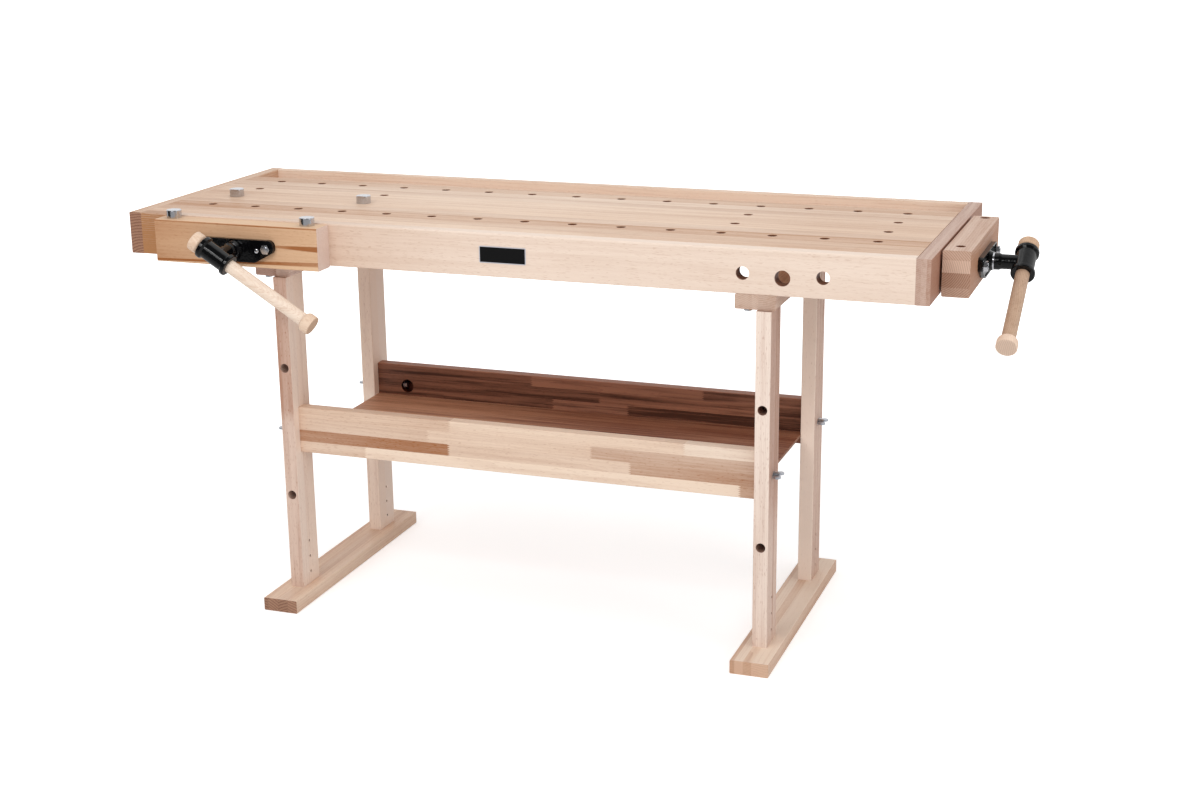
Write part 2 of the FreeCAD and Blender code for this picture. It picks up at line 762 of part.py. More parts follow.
def make_stretcher(row, front):
    """A stretcher with a shelf groove and two blind holes for the nuts on its inner face."""
    body = board(f"{row}_stretcher", ("place.left_inner", "place.right_inner"),
                 (front, f"{front} + size.stretcher_thickness"),
                 ("size.stretcher_bottom", "size.stretcher_bottom + size.stretcher_height"), "X")
    faces_back = row == "front"
    inner = f"{front} + size.stretcher_thickness" if faces_back else front
    groove = sketch_on(body, f"{row}_shelf_groove", "Y", inner)
    add_rectangle(groove, "place.left_inner", "place.shelf_bottom", "place.right_inner", "place.shelf_top")
    cut(body, groove, "size.shelf_groove", faces_back)
    holes = [("place.left_inner + size.cross_hole_inset", "place.stretcher_centre"),
             ("place.right_inner - size.cross_hole_inset", "place.stretcher_centre")]
    drill(body, f"{row}_cross_holes", "Y", inner, "size.cross_hole_depth", holes, "size.cross_hole",
          faces_back)
    rod_row = [(f"{front} + size.stretcher_thickness / 2", "place.stretcher_centre")]
    for end, start, backwards in (("left", "place.left_inner", True),
                                  ("right", "place.right_inner", False)):
        drill(body, f"{row}_{end}_rod_hole", "X", start, "size.cross_hole_inset", rod_row,
              "size.rod + 2 * size.rod_clearance", backwards)
    stand(body)


def make_shelf():
    depth = ("place.front_stretcher + size.stretcher_thickness - size.shelf_groove",
             "place.rear_stretcher + size.shelf_groove")
    stand(board("shelf_panel", ("place.left_inner", "place.right_inner"), depth,
                ("place.shelf_bottom", "place.shelf_top"), "X", "size.fine_ease"))


# Each knock-down joint: the leg's outer face and the sign of the way in.
KNOCK_DOWNS = {"left": ("size.left_frame - size.leg_thickness / 2", 1),
               "right": ("place.right_frame + size.leg_thickness / 2", -1)}


def inward(start, way, distance, length="0"):
    """The low X end of a piece of some length that lies a distance in from a face."""
    if way > 0:
        return f"{start} + ({distance})"
    return f"{start} - ({distance}) - ({length})"


def wing_nut(name, outer, way, row):
    """A hub turned to a slight cone, with two round ears on a flat root across it."""
    height = "place.stretcher_centre"
    hub_start = inward(outer, way, "-size.wing_nut_height", "size.wing_nut_height")
    hub = doc.addObject("Part::Cone", name + "_hub")
    hub_ends = ("size.wing_nut_tip / 2", "size.wing_nut_hub / 2")
    for radius, expression in zip(("Radius1", "Radius2"), hub_ends[::way]):
        hub.setExpression(radius, expression)
    hub.setExpression("Height", "size.wing_nut_height")
    locate(hub, "X", (hub_start, row, height))

    reach = "(size.wing_span - size.wing_ear) / 2"
    low = f"{height} - size.wing_thickness / 2"
    root = doc.addObject("Part::Box", name + "_root")
    root.setExpression("Length", "size.wing_root")
    root.setExpression("Width", f"2 * {reach}")
    root.setExpression("Height", "size.wing_thickness")
    root_start = inward(outer, way, "-size.wing_root_rise - size.wing_root", "size.wing_root")
    locate(root, "Z", (root_start, f"{row} - {reach}", low))

    ear_x = inward(outer, way, "-size.wing_ear_rise")
    ears = [rod_piece(f"{name}_{label}_ear", "Z", (ear_x, f"{row} + ({sign}) * {reach}", low),
                      "size.wing_ear", "size.wing_thickness")
            for label, sign in (("front", -1), ("back", 1))]
    whole = joined(name + "_whole", [hub, root] + ears)
    bore = rod_piece(name + "_bore", "X", (hub_start, row, height), "size.rod", "size.wing_nut_height")
    return without(name, whole, bore)


def make_knock_down_bolts():
    rods, nuts, washers, wings = [], [], [], []
    washer_end = "place.washer_seat + size.rod_washer_thickness"
    rod_length = f"{washer_end} + size.rod_nut_height + size.wing_nut_height"
    for side, (outer, way) in KNOCK_DOWNS.items():
        for row, front in STRETCHER_ROWS.items():
            label = f"{side}_{row}"
            centre = f"{front} + size.stretcher_thickness / 2"

            def axis_spot(distance, length):
                return (inward(outer, way, distance, length), centre, "place.stretcher_centre")

            rods.append(rod_piece(label + "_rod", "X", axis_spot("-size.wing_nut_height", rod_length),
                                  "size.rod", rod_length))
            washer_spot = axis_spot("place.washer_seat", "size.rod_washer_thickness")
            washers.append(drilled_disc(label + "_washer", "X", washer_spot, "size.rod_washer",
                                        "size.rod_washer_thickness", "size.rod"))
            nuts.append(drilled_nut(label + "_nut", "X", axis_spot(washer_end, "size.rod_nut_height"),
                                    "size.rod_nut_width", "size.rod_nut_height", "size.rod"))
            wings.append(wing_nut(label + "_wing_nut", outer, way, centre))
    stand(group("stretcher_rods", rods))
    stand(group("rod_washers", washers))
    stand(group("rod_nuts", nuts))
    stand(group("wing_nuts", wings))


# Vises, drawn with X along the jaw from the vise's middle, Y = 0 on the jaw's outer face and
# the bench on the +Y side

def dog_columns_on_jaw(side):
    """Places along the jaw of its two dog holes, in line with the top's dog holes."""
    if side == "front":
        return ["size.dog_first_column - place.front_vise", "place.dog_inner_column - place.front_vise"]
    return ["size.dog_first_row - place.end_vise", "place.dog_last_row - place.end_vise"]


def make_jaw(side):
    top = f"size.bench_height - size.{side}_jaw_drop"
    thickness = f"size.{side}_jaw_thickness"
    body = board(f"{side}_jaw", (f"-place.{side}_jaw_length / 2", f"place.{side}_jaw_length / 2"),
                 ("0", thickness), (f"{top} - size.{side}_jaw_height", top), "X", "size.jaw_ease")
    drill(body, f"{side}_jaw_guides", "Y", "0", thickness, guide_centres("0"),
          "size.guide_rod + 2 * size.running_clearance")
    middle = [("0", "place.screw_height")]
    drill(body, f"{side}_jaw_screw", "Y", "0", thickness, middle, "size.screw_hole")
    drill(body, f"{side}_jaw_collar", "Y", "0", "size.collar_thickness + 2 * size.collar_play", middle,
          "2 * size.collar + 4 * size.collar_play")
    dogs = [(column, f"size.{side}_dog_inset") for column in dog_columns_on_jaw(side)]
    drill(body, f"{side}_jaw_dogs", "Z", top, f"size.{side}_jaw_height", dogs, "size.dog_hole")
    wood_screws = [("-size.plate_screw_offset", "place.screw_height"),
                   ("size.plate_screw_offset", "place.screw_height")]
    drill(body, f"{side}_jaw_screw_holes", "Y", "0", "size.plate_screw_bite", wood_screws,
          "size.plate_screw")
    mount(body, side)


def plate_outline(rim):
    """Corners of the plate, or of its recess inside a rim, about the guides' height."""
    inside = rim != "0"
    rise = "place.plate_rim_rise" if inside else "0"
    end = f"(size.plate_half_length - {rim})"
    low = f"(size.plate_bottom - {rim})"
    shoulder = f"(size.plate_shoulder + {rim} * place.plate_slope - {rise})"
    flat = f"(size.plate_flat + ({rim} - {rise}) / place.plate_slope)"
    height = "place.guide_height"
    return [(f"-{end}", f"{height} + size.plate_top - {rim}"), (f"-{end}", f"{height} - {shoulder}"),
            (f"-{flat}", f"{height} - {low}"), (flat, f"{height} - {low}"),
            (end, f"{height} - {shoulder}"), (end, f"{height} + size.plate_top - {rim}")]


def plate_rounding(rim):
    corner = f"size.plate_corner - {rim}"
    bend = f"size.plate_bend - {rim}"
    return [corner, corner, bend, bend, corner, corner]


def make_plate(side):
    """The cast plate on the jaw: a raised rim round a sunk web, and a flared boss for the screw."""
    body = doc.addObject("PartDesign::Body", f"{side}_vise_plate")
    blank = sketch_on(body, f"{side}_plate_blank", "Y", "0")
    add_outline(blank, plate_outline("0"), plate_rounding("0"))
    pad(body, blank, "size.plate_thickness")
    recess = sketch_on(body, f"{side}_plate_recess", "Y", "-size.plate_thickness")
    add_outline(recess, plate_outline("size.plate_rim"), plate_rounding("size.plate_rim"))
    cut(body, recess, "size.plate_recess")
    boss = sketch_on(body, f"{side}_plate_boss", "Z", "place.screw_height")
    add_outline(boss, [("0", "0"), ("size.boss_base", "0"), ("size.boss_base", "-size.plate_thickness"),
                       ("size.boss_mouth", "-size.boss_length"), ("0", "-size.boss_length")])
    revolve(body, boss, "V_Axis")
    drill(body, f"{side}_boss_bore", "Y", "-size.boss_length", "size.boss_length",
          [("0", "place.screw_height")], "size.screw + 2 * size.running_clearance")
    drill(body, f"{side}_stud_holes", "Y", "-size.plate_thickness", "size.plate_thickness",
          guide_centres("0"), "size.stud + 2 * size.running_clearance")
    screws = [("-size.plate_screw_offset", "place.screw_height"),
              ("size.plate_screw_offset", "place.screw_height")]
    drill(body, f"{side}_plate_screw_holes", "Y", "-size.plate_thickness", "size.plate_thickness",
          screws, "size.plate_screw")
    mount(body, side)


def make_guides(side):
    """Guide rods shouldered against the plate, with a stud through it, and their nuts."""
    rods, nuts = [], []
    inner = f"size.{side}_jaw_thickness + size.{side}_jaw_gap + size.rod_reach"
    nut_face = "-place.plate_web - size.stud_nut_height"
    for label, sign in (("near", -1), ("far", 1)):
        across = f"({sign}) * place.guide_half"
        name = f"{side}_{label}_guide"
        shaft = rod_piece(name + "_shaft", "Y", (across, "0", "place.guide_height"), "size.guide_rod",
                          inner)
        stud_start = f"{nut_face} - size.stud_proud"
        stud = rod_piece(name + "_stud", "Y", (across, stud_start, "place.guide_height"), "size.stud",
                         f"-({stud_start})")
        rods.append(joined(name, [shaft, stud]))
        nuts.append(drilled_nut(name + "_nut", "Y", (across, nut_face, "place.guide_height"),
                                "size.stud_nut_width", "size.stud_nut_height", "size.stud"))
    mount(group(f"{side}_guide_rods", rods), side)
    mount(group(f"{side}_guide_nuts", nuts), side)


def wood_screw(name, across, seat, height):
    """A round-headed screw driven along +Y from the face it seats on."""
    shank = rod_piece(name + "_shank", "Y", (across, seat, height), "size.plate_screw",
                      f"size.plate_screw_bite - ({seat}) - size.plate_screw_head_height")
    head = doc.addObject("Part::Ellipsoid", name + "_dome")
    head.setExpression("Radius1", "size.plate_screw_head_height")
    head.setExpression("Radius2", "size.plate_screw_head / 2")
    head.setExpression("Radius3", "size.plate_screw_head / 2")
    head.Angle1 = 0
    head.Angle2 = 90
    locate(head, "Y", (across, seat, height))
    head.Placement.Rotation = FreeCAD.Rotation(FreeCAD.Vector(1, 0, 0), 90)
    return joined(name, [shank, head])


def make_plate_screws(side):
    pieces = [wood_screw(f"{side}_{label}_plate_screw", f"({sign}) * size.plate_screw_offset",
                         "-place.plate_web", "place.screw_height")
              for label, sign in (("near", -1), ("far", 1))]
    mount(group(f"{side}_plate_screws", pieces), side)


def turned_ring(name, side, low, high, radius, bore, height="place.screw_height"):
    """A ring round the screw between two distances out from the jaw's face."""
    body = doc.addObject("PartDesign::Body", name)
    section = sketch_on(body, name + "_section", "Z", "0")
    add_rectangle(section, bore, f"-({high})", radius, f"-({low})")
    revolve(body, section, "V_Axis")
    mount(body, side, height)


def make_screw(side, turn):
    body = doc.addObject("PartDesign::Body", f"{side}_screw")
    section = sketch_on(body, f"{side}_screw_section", "Z", "0")
    inner = f"size.{side}_jaw_thickness + size.{side}_jaw_gap + size.rod_reach"
    edge = "size.screw / 2 - size.screw_chamfer"
    add_outline(section, [("0", "-place.screw_front"), ("size.screw / 2", "-place.screw_front"),
                          ("size.screw / 2", f"{inner} - size.screw_chamfer"), (edge, inner),
                          ("0", inner)])
    revolve(body, section, "V_Axis")
    mount(body, side, "place.screw_height", turn)
    bore = "size.screw / 2"
    turned_ring(f"{side}_thrust_ring", side, "size.boss_length", "place.ring_front",
                "size.thrust_ring", bore)
    turned_ring(f"{side}_collar", side, "-size.collar_play - size.collar_thickness", "-size.collar_play",
                "size.collar", bore)


def make_hub(side, turn):
    """The cast hub on the screw's end: a flange and neck that carry a sleeve for the handle."""
    body = doc.addObject("PartDesign::Body", f"{side}_handle_hub")
    stem = sketch_on(body, f"{side}_hub_stem", "Z", "0")
    flange_end = "place.ring_front + size.hub_flange_length"
    add_outline(stem, [("0", "-place.ring_front"), ("size.hub_flange", "-place.ring_front"),
                       ("size.hub_flange", f"-({flange_end})"),
                       ("size.hub_neck", f"-({flange_end} + size.hub_cone_length)"),
                       ("size.hub_neck", "-size.sleeve_reach"), ("0", "-size.sleeve_reach")])
    revolve(body, stem, "V_Axis")
    sleeve = sketch_on(body, f"{side}_hub_sleeve", "Z", "0")
    sleeve.setExpression("AttachmentOffset.Base.y", "-size.sleeve_reach")
    end = "size.sleeve_half_length"
    ring = f"{end} - size.sleeve_ring_width"
    flare = f"{ring} - size.sleeve_flare"
    add_outline(sleeve, [(f"-({end})", "0"), (f"-({end})", "size.sleeve_ring"),
                         (f"-({ring})", "size.sleeve_ring"), (f"-({flare})", "size.sleeve_barrel"),
                         (flare, "size.sleeve_barrel"), (ring, "size.sleeve_ring"),
                         (end, "size.sleeve_ring"), (end, "0")])
    revolve(body, sleeve, "H_Axis")
    bore = "size.handle_bar + 2 * size.handle_clearance"
    drill(body, f"{side}_hub_handle_bore", "X", "size.sleeve_half_length",
          "2 * size.sleeve_half_length", [("-size.sleeve_reach", "0")], bore)
    drill(body, f"{side}_hub_screw_seat", "Y", "-place.screw_front", "size.screw_seat_length",
          [("0", "0")], "size.screw")
    round_edges(body, rim_edges(body.Shape, "size.sleeve_ring"), "size.sleeve_ring_ease")
    mount(body, side, "place.screw_height", turn)


def make_handle(side, turn):
    """A turned bar that slides in the hub's sleeve, and a knob on a tenon at each end."""
    body = doc.addObject("PartDesign::Body", f"{side}_handle_bar")
    section = sketch_on(body, f"{side}_bar_section", "Z", "0")
    section.setExpression("AttachmentOffset.Base.y", "-size.sleeve_reach")
    low = "size.sleeve_half_length"
    high = "(size.sleeve_half_length + size.handle_travel)"
    tenon = "size.knob_tenon / 2"
    add_outline(section, [(f"-{low} - size.knob_tenon_length", "0"),
                          (f"-{low} - size.knob_tenon_length", tenon), (f"-{low}", tenon),
                          (f"-{low}", "size.handle_bar / 2"), (high, "size.handle_bar / 2"),
                          (high, tenon), (f"{high} + size.knob_tenon_length", tenon),
                          (f"{high} + size.knob_tenon_length", "0")])
    revolve(body, section, "H_Axis")
    mount(body, side, "place.screw_height", turn)
    make_knob(side, "upper", low, -1, turn)
    make_knob(side, "lower", high, 1, turn)


def make_knob(side, label, inner, way, turn):
    body = doc.addObject("PartDesign::Body", f"{side}_{label}_knob")
    section = sketch_on(body, f"{side}_{label}_knob_section", "Z", "0")
    section.setExpression("AttachmentOffset.Base.y", "-size.sleeve_reach")
    reach = f"({way}) * ({inner} + size.knob_tenon_length)"
    near = f"({way}) * {inner}"
    far = f"({way}) * ({inner} + size.knob_length)"
    tenon = "size.knob_tenon / 2"
    add_outline(section, [(near, tenon), (near, "size.knob / 2"), (far, "size.knob / 2"), (far, "0"),
                          (reach, "0"), (reach, tenon)])
    revolve(body, section, "H_Axis")
    for level, ease in ((near, "size.knob_shoulder"), (far, "size.knob_end_ease")):
        round_edges(body, rim_edges(body.Shape, "size.knob / 2", "X", level), ease)
    mount(body, side, "place.screw_height", turn)


def make_nut_casting(side):
    """The casting inside the bench: a flange, two guide sleeves and the screw's nut."""
    body = doc.addObject("PartDesign::Body", f"{side}_nut_casting")
    wall = f"place.{side}_wall"
    blank = sketch_on(body, f"{side}_flange", "Y", wall)
    add_rectangle(blank, "-size.flange_half_length", "place.guide_height - size.flange_bottom",
                  "size.flange_half_length", "place.guide_height + size.flange_top")
    pad(body, blank, "size.flange_thickness", backwards=True)
    round_edges(body, edges_along(body.Shape, "Y"), "size.flange_corner")
    for label, centres, radius in (
            ("sleeves", guide_centres("0"), "size.guide_sleeve"),
            ("nut", [("0", "place.screw_height")], "size.nut_boss")):
        sketch = sketch_on(body, f"{side}_casting_{label}", "Y", wall)
        for across, up in centres:
            add_circle(sketch, across, up, f"2 * {radius}")
        raised = pad(body, sketch, "size.nut_length", backwards=True)
        raised.setExpression("TaperAngle", "-size.casting_taper")
    doc.recompute()
    drill(body, f"{side}_casting_guides", "Y", wall, "size.nut_length", guide_centres("0"),
          "size.guide_rod + 2 * size.running_clearance")
    drill(body, f"{side}_casting_thread", "Y", wall, "size.nut_length",
          [("0", "place.screw_height")], "size.screw + 2 * size.running_clearance")
    drill(body, f"{side}_casting_screws", "Y", wall, "size.flange_thickness", flange_screw_places(),
          "size.plate_screw")
    mount(body, side)


def flange_screw_places(centre="0"):
    return [(f"{centre} + ({sign}) * place.flange_screw_across", height)
            for sign in (-1, 1) for height in ("place.flange_screw_low", "place.flange_screw_high")]


def make_flange_screws(side):
    pieces = []
    seat = f"place.{side}_wall + size.flange_thickness"
    for index, (across, height) in enumerate(flange_screw_places(), start=1):
        name = f"{side}_flange_screw_{index}"
        shank = rod_piece(name + "_shank", "Y", (across, f"{seat} - size.plate_screw_bite", height),
                          "size.plate_screw", "size.plate_screw_bite")
        head = rod_piece(name + "_head", "Y", (across, seat, height), "size.plate_screw_head",
                         "size.plate_screw_head_height")
        pieces.append(joined(name, [shank, head]))
    mount(group(f"{side}_flange_screws", pieces), side)


def make_vise(side, turn):
    make_jaw(side)
    make_plate(side)
    make_guides(side)
    make_plate_screws(side)
    make_screw(side, turn)
    make_hub(side, turn)
    make_handle(side, turn)
    make_nut_casting(side)
    make_flange_screws(side)


# Bench dogs

def make_dog(name, across, row, seat, flat_side):
    """A round head with one flat face, on a shank that drops into a dog hole."""
    body = doc.addObject("PartDesign::Body", name)
    section = sketch_on(body, name + "_section", "Y", "0")
    shank = "size.dog_hole / 2 - size.dog_clearance"
    add_outline(section, [("0", "-size.dog_shank_length"), (f"{shank} - size.dog_head_edge",
                                                            "-size.dog_shank_length"),
                          (shank, "-size.dog_shank_length + size.dog_head_edge"), (shank, "0"),
                          ("size.dog_head / 2", "0"), ("size.dog_head / 2", "size.dog_head_height"),
                          ("0", "size.dog_head_height")])
    revolve(body, section, "V_Axis")
    rims = rim_edges(body.Shape, "size.dog_head / 2", "Z", "size.dog_head_height")
    round_edges(body, rims, "size.dog_head_edge")
    face = sketch_on(body, name + "_flat", "Z", "size.dog_head_height")
    outer = f"({flat_side}) * size.dog_head"
    near = f"({flat_side}) * size.dog_flat"
    add_rectangle(face, "-size.dog_head", near, "size.dog_head", outer)
    cut(body, face, "size.dog_head_height")
    for letter, expression in (("x", f"{across} - place.origin_x"), ("y", f"{row} - place.origin_y"),
                               ("z", seat)):
        body.setExpression(f"Placement.Base.{letter}", expression)
    nodes.append(body)


def make_dogs():
    columns = {"left": "size.dog_first_column", "right": "place.dog_inner_column"}
    jaw_top = "size.bench_height - size.front_jaw_drop"
    for label, column in columns.items():
        make_dog(f"top_{label}_dog", column, "size.dog_first_row + place.dog_row_pitch",
                 "size.bench_height", -1)
        make_dog(f"jaw_{label}_dog", column, "size.front_dog_inset - size.front_jaw_thickness", jaw_top, 1)


def check_document():
    for obj in doc.Objects:
        if "Invalid" in obj.State or "Error" in obj.State:
            raise RuntimeError(f"{obj.Name} failed: {obj.State}")
    for node in nodes:
        if node.Shape.isNull() or not node.Shape.isValid():
            raise RuntimeError(f"{node.Label} has no valid shape")


def write_nodes():
    os.makedirs("parts", exist_ok=True)
    for node in nodes:
        node.Shape.exportStep(os.path.join("parts", node.Label + ".step"))


fill_sheet()
make_panel()
make_apron()
make_caps()
make_tray()
make_badge()
make_cap_dowels()
make_top_bolts()
for frame_side, frame_centre in (("left", "size.left_frame"), ("right", "place.right_frame")):
    make_foot(frame_side, frame_centre)
    make_bearer(frame_side, frame_centre)
    for leg_row, leg_face in LEG_ROWS.items():
        make_leg(frame_side, frame_centre, leg_row, leg_face, STRETCHER_ROWS[leg_row])
for stretcher_row, stretcher_face in STRETCHER_ROWS.items():
    make_stretcher(stretcher_row, stretcher_face)
make_shelf()
make_knock_down_bolts()
make_vise("front", "size.front_handle_turn")
make_vise("end", "size.end_handle_turn")
make_dogs()
doc.recompute()
check_document()
write_nodes()
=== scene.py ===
import math

import bpy
from mathutils import Matrix, Vector


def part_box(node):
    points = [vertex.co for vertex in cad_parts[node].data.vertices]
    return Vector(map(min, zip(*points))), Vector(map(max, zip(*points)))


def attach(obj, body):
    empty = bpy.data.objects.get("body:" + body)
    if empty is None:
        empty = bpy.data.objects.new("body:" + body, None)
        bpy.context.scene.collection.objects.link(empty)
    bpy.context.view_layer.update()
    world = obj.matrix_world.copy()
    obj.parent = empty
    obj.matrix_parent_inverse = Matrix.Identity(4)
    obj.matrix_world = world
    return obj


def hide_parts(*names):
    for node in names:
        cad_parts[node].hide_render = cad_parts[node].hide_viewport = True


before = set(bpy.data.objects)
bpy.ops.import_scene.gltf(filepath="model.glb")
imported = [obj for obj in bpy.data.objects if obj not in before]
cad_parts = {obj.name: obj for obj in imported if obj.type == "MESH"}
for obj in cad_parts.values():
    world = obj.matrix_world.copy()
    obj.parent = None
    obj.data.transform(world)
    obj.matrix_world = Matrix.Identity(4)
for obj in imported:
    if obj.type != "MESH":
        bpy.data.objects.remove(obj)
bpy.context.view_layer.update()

AXES = "XYZ"
UNIT = {"X": (1, 0, 0), "Y": (0, 1, 0), "Z": (0, 0, 1)}
WHITE = (1.0, 1.0, 1.0, 1.0)

# most values of a noise texture lie between these two
NOISE_LOW, NOISE_HIGH = 0.3, 0.7

# ---------------------------------------------------------------- node helpers


class Nodes:
    """A short way to write a node tree."""

    def __init__(self, tree):
        self.tree = tree

    def add(self, kind, **settings):
        node = self.tree.nodes.new(kind)
        for key, value in settings.items():
            setattr(node, key, value)
        return node

    def feed(self, socket, value):
        """Link a socket to another node's output, or set it to a constant."""
        if isinstance(value, bpy.types.NodeSocket):
            self.tree.links.new(value, socket)
        else:
            socket.default_value = value

    def fill(self, node, *values):
        """Feed a node's sockets in their order."""
        for socket, value in zip(node.inputs, values):
            self.feed(socket, value)
        return node

    def fill_named(self, node, **values):
        """Feed a node's sockets by their names."""
        for name, value in values.items():
            self.feed(node.inputs[name], value)
        return node

    def math(self, operation, *values, clamp=False):
        node = self.add("ShaderNodeMath", operation=operation, use_clamp=clamp)
        return self.fill(node, *values).outputs[0]

    def total(self, *values, clamp=False):
        """The sum of two or more values."""
        result = values[0]
        for value in values[1:-1]:
            result = self.math("ADD", result, value)
        return self.math("ADD", result, values[-1], clamp=clamp)

    def vector(self, operation, *values):
        node = self.fill(self.add("ShaderNodeVectorMath", operation=operation), *values)
        return node.outputs["Value" if operation in ("DOT_PRODUCT", "LENGTH") else "Vector"]

    def split(self, vector):
        return self.fill(self.add("ShaderNodeSeparateXYZ"), vector).outputs

    def join(self, x, y, z):
        return self.fill(self.add("ShaderNodeCombineXYZ"), x, y, z).outputs[0]

    def noise(self, vector, scale, detail=2.0, roughness=0.5):
        node = self.add("ShaderNodeTexNoise")
        self.fill_named(node, Vector=vector, Scale=scale, Detail=detail, Roughness=roughness)
        return node.outputs["Fac"]

    def white(self, vector):
        """Three random numbers that follow from a vector alone."""
        node = self.add("ShaderNodeTexWhiteNoise", noise_dimensions="3D")
        return self.fill_named(node, Vector=vector).outputs["Color"]

    def remap(self, value, low, high, to_low=0.0, to_high=1.0, smooth=False):
        """A value's place between two bounds, moved to between two others and kept there."""
        interpolation = "SMOOTHSTEP" if smooth else "LINEAR"
        node = self.add("ShaderNodeMapRange", interpolation_type=interpolation)
        return self.fill(node, value, low, high, to_low, to_high).outputs[0]

    def steps(self, value, stops):
        """A value held constant from each stop's start: (start, value) pairs."""
        node = self.add("ShaderNodeValToRGB")
        ramp = node.color_ramp
        ramp.interpolation = "CONSTANT"
        ramp.elements.remove(ramp.elements[-1])
        for index, (start, level) in enumerate(stops):
            element = ramp.elements[0] if index == 0 else ramp.elements.new(start)
            element.position = start
            element.color = (level, level, level, 1.0)
        return self.fill(node, value).outputs["Color"]

    def band(self, value, centre, half, soft):
        """1 within a distance of a centre, fading to 0."""
        gap = self.math("ABSOLUTE", self.math("SUBTRACT", value, centre))
        edge = self.math("SUBTRACT", gap, half)
        return self.remap(edge, 0.0, soft, 1.0, 0.0, smooth=True)

    def blend(self, kind, factor, first, second):
        """Two colours blended."""
        node = self.add("ShaderNodeMix", data_type="RGBA", blend_type=kind)
        return self.fill_named(node, Factor=factor, A=first, B=second).outputs["Result"]

    def between(self, factor, first, second):
        """A number between two others."""
        node = self.add("ShaderNodeMix", data_type="FLOAT")
        return self.fill_named(node, Factor=factor, A=first, B=second).outputs["Result"]

    def bump(self, height, strength, distance):
        node = self.add("ShaderNodeBump")
        self.fill_named(node, Strength=strength, Distance=distance, Height=height)
        return node.outputs[0]


class Material(Nodes):
    """A new material and its node tree."""

    def __init__(self, name):
        self.material = bpy.data.materials.new(name)
        self.material.use_nodes = True
        super().__init__(self.material.node_tree)
        self.shader = self.tree.nodes["Principled BSDF"]

    def place(self):
        return self.add("ShaderNodeTexCoord").outputs["Object"]

    def normal(self):
        return self.add("ShaderNodeNewGeometry").outputs["Normal"]

    def surface(self, values):
        """Feed the shader's sockets by their names."""
        for name, value in values.items():
            self.feed(self.shader.inputs[name], value)


def linear(red, green, blue):
    """A colour written as 0-255 screen values, as a linear colour."""
    def one(value):
        value = value / 255
        return value / 12.92 if value <= 0.04045 else ((value + 0.055) / 1.055) ** 2.4
    return (one(red), one(green), one(blue), 1.0)


def darker(colour, share):
    """A colour whose channels are multiplied by a share."""
    return tuple(channel * share for channel in colour[:3]) + (1.0,)


def paint(node, *materials):
    """Give a CAD node its material, or one material for each slot."""
    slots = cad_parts[node].material_slots
    for index, material_slot in enumerate(slots):
        material_slot.material = materials[min(index, len(materials) - 1)]


# ---------------------------------------------------------------- wood

# each wood's light and dark colour
BEECH = (linear(242, 219, 199), linear(184, 133, 93))
APRON = (linear(243, 225, 211), linear(174, 124, 82))
CAP = (linear(242, 222, 208), linear(168, 124, 104))
FOOT = (linear(242, 220, 200), linear(184, 130, 94))
PINK_BEECH = (linear(243, 224, 210), linear(178, 132, 104))
LEG = (linear(245, 226, 212), linear(176, 130, 108))
PINK = (linear(243, 224, 213), linear(176, 130, 112))
TAN = (linear(227, 191, 156), linear(160, 98, 50))
STRETCHER = (linear(243, 222, 203), linear(162, 102, 58))
# the rear stretcher's and the shelf's colours: partly their own dark wood, partly the shade under
# the worktop painted in
SHADED_BROWN = (linear(164, 112, 88), linear(76, 42, 28))
SHADED_SHELF = (linear(212, 160, 128), linear(122, 70, 50))
CREAM = (linear(246, 230, 214), linear(212, 178, 152))
GOLD = (linear(202, 172, 148), linear(158, 124, 100))
KNOB_CREAM = (linear(238, 214, 192), linear(204, 166, 136))
KNOB_GOLD = (linear(220, 188, 160), linear(178, 142, 112))
PALE_GOLD = (linear(242, 218, 198), linear(214, 182, 160))

# the light and dark colour of end grain, where it isn't the usual one
TAN_ENDS = (linear(252, 234, 222), linear(196, 156, 138))
JAW_ENDS = (linear(222, 188, 166), linear(148, 104, 80))
FOOT_ENDS = (linear(190, 146, 120), linear(96, 60, 42))
WARM_ENDS = (linear(218, 174, 142), linear(158, 108, 78))
DARK_ENDS = (linear(186, 140, 114), linear(96, 58, 40))

# what single staves are multiplied by, and the painted shade that darkens the sides of holes
WARM_STAVE = linear(255, 246, 236)
WARM_STAVE_SHARE = 0.5
HOLE_SHADE = linear(142, 94, 70)

# noise drawn out along the grain: the share of the length that counts, cycles a metre, octaves and
# roughness
WANDER = (0.14, 7.0, 3.0)
BROAD = (0.10, 16.0, 2.0)
STREAKS = (0.035, 95.0, 4.0, 0.62)
FIBRES = (0.03, 1300.0, 2.0, 0.7)
FLECKS = (0.14, 700.0, 0.0)
PORES = (0.1, 900.0, 1.0)

# between which values of their noise streaks, flecks and pores come up
STREAK_SPAN = (0.40, 0.70)
FLECK_SPAN = (0.68, 0.74)
PORE_SPAN = (0.45, 0.7)

# how far apart two staves, and two pieces, are cut from the same endless wood, in metres
STAVE_ALONG, STAVE_DEEP = 3.0, 2.0
SEED_ASIDE, SEED_DEEP = 0.173, 0.291

# growth rings: where the pith lies and how far they wander, in metres, and the late wood's start
PITH_ASIDE = (-0.07, 0.07)
PITH_DEEP = (0.05, 0.14)
RING_WANDER = 0.022
LATE_WOOD_START = 0.3

# means of the figure's values, and what they add to the share of dark wood
BROAD_MEAN, BROAD_PART = 0.5, 0.7
LATE_WOOD_MEAN = 0.45
STREAK_MEAN, STREAK_PART = 0.35, 0.5
FIBRE_MEAN, FIBRE_PART = 0.5, 0.24
FLECK_PART = 0.6

# end grain: how far a face has to look along the grain, what makes it dark, and its usual colours
END_FACING = (0.6, 0.9)
END_RINGS, END_PORES, END_TONE = 0.45, 0.25, 0.6
END_LIGHT_SHARE, END_DARK_SHARE = 0.45, 0.62

# a wall lies this far inside its piece's box, in metres
WALL_DEPTH = (0.001, 0.0014)

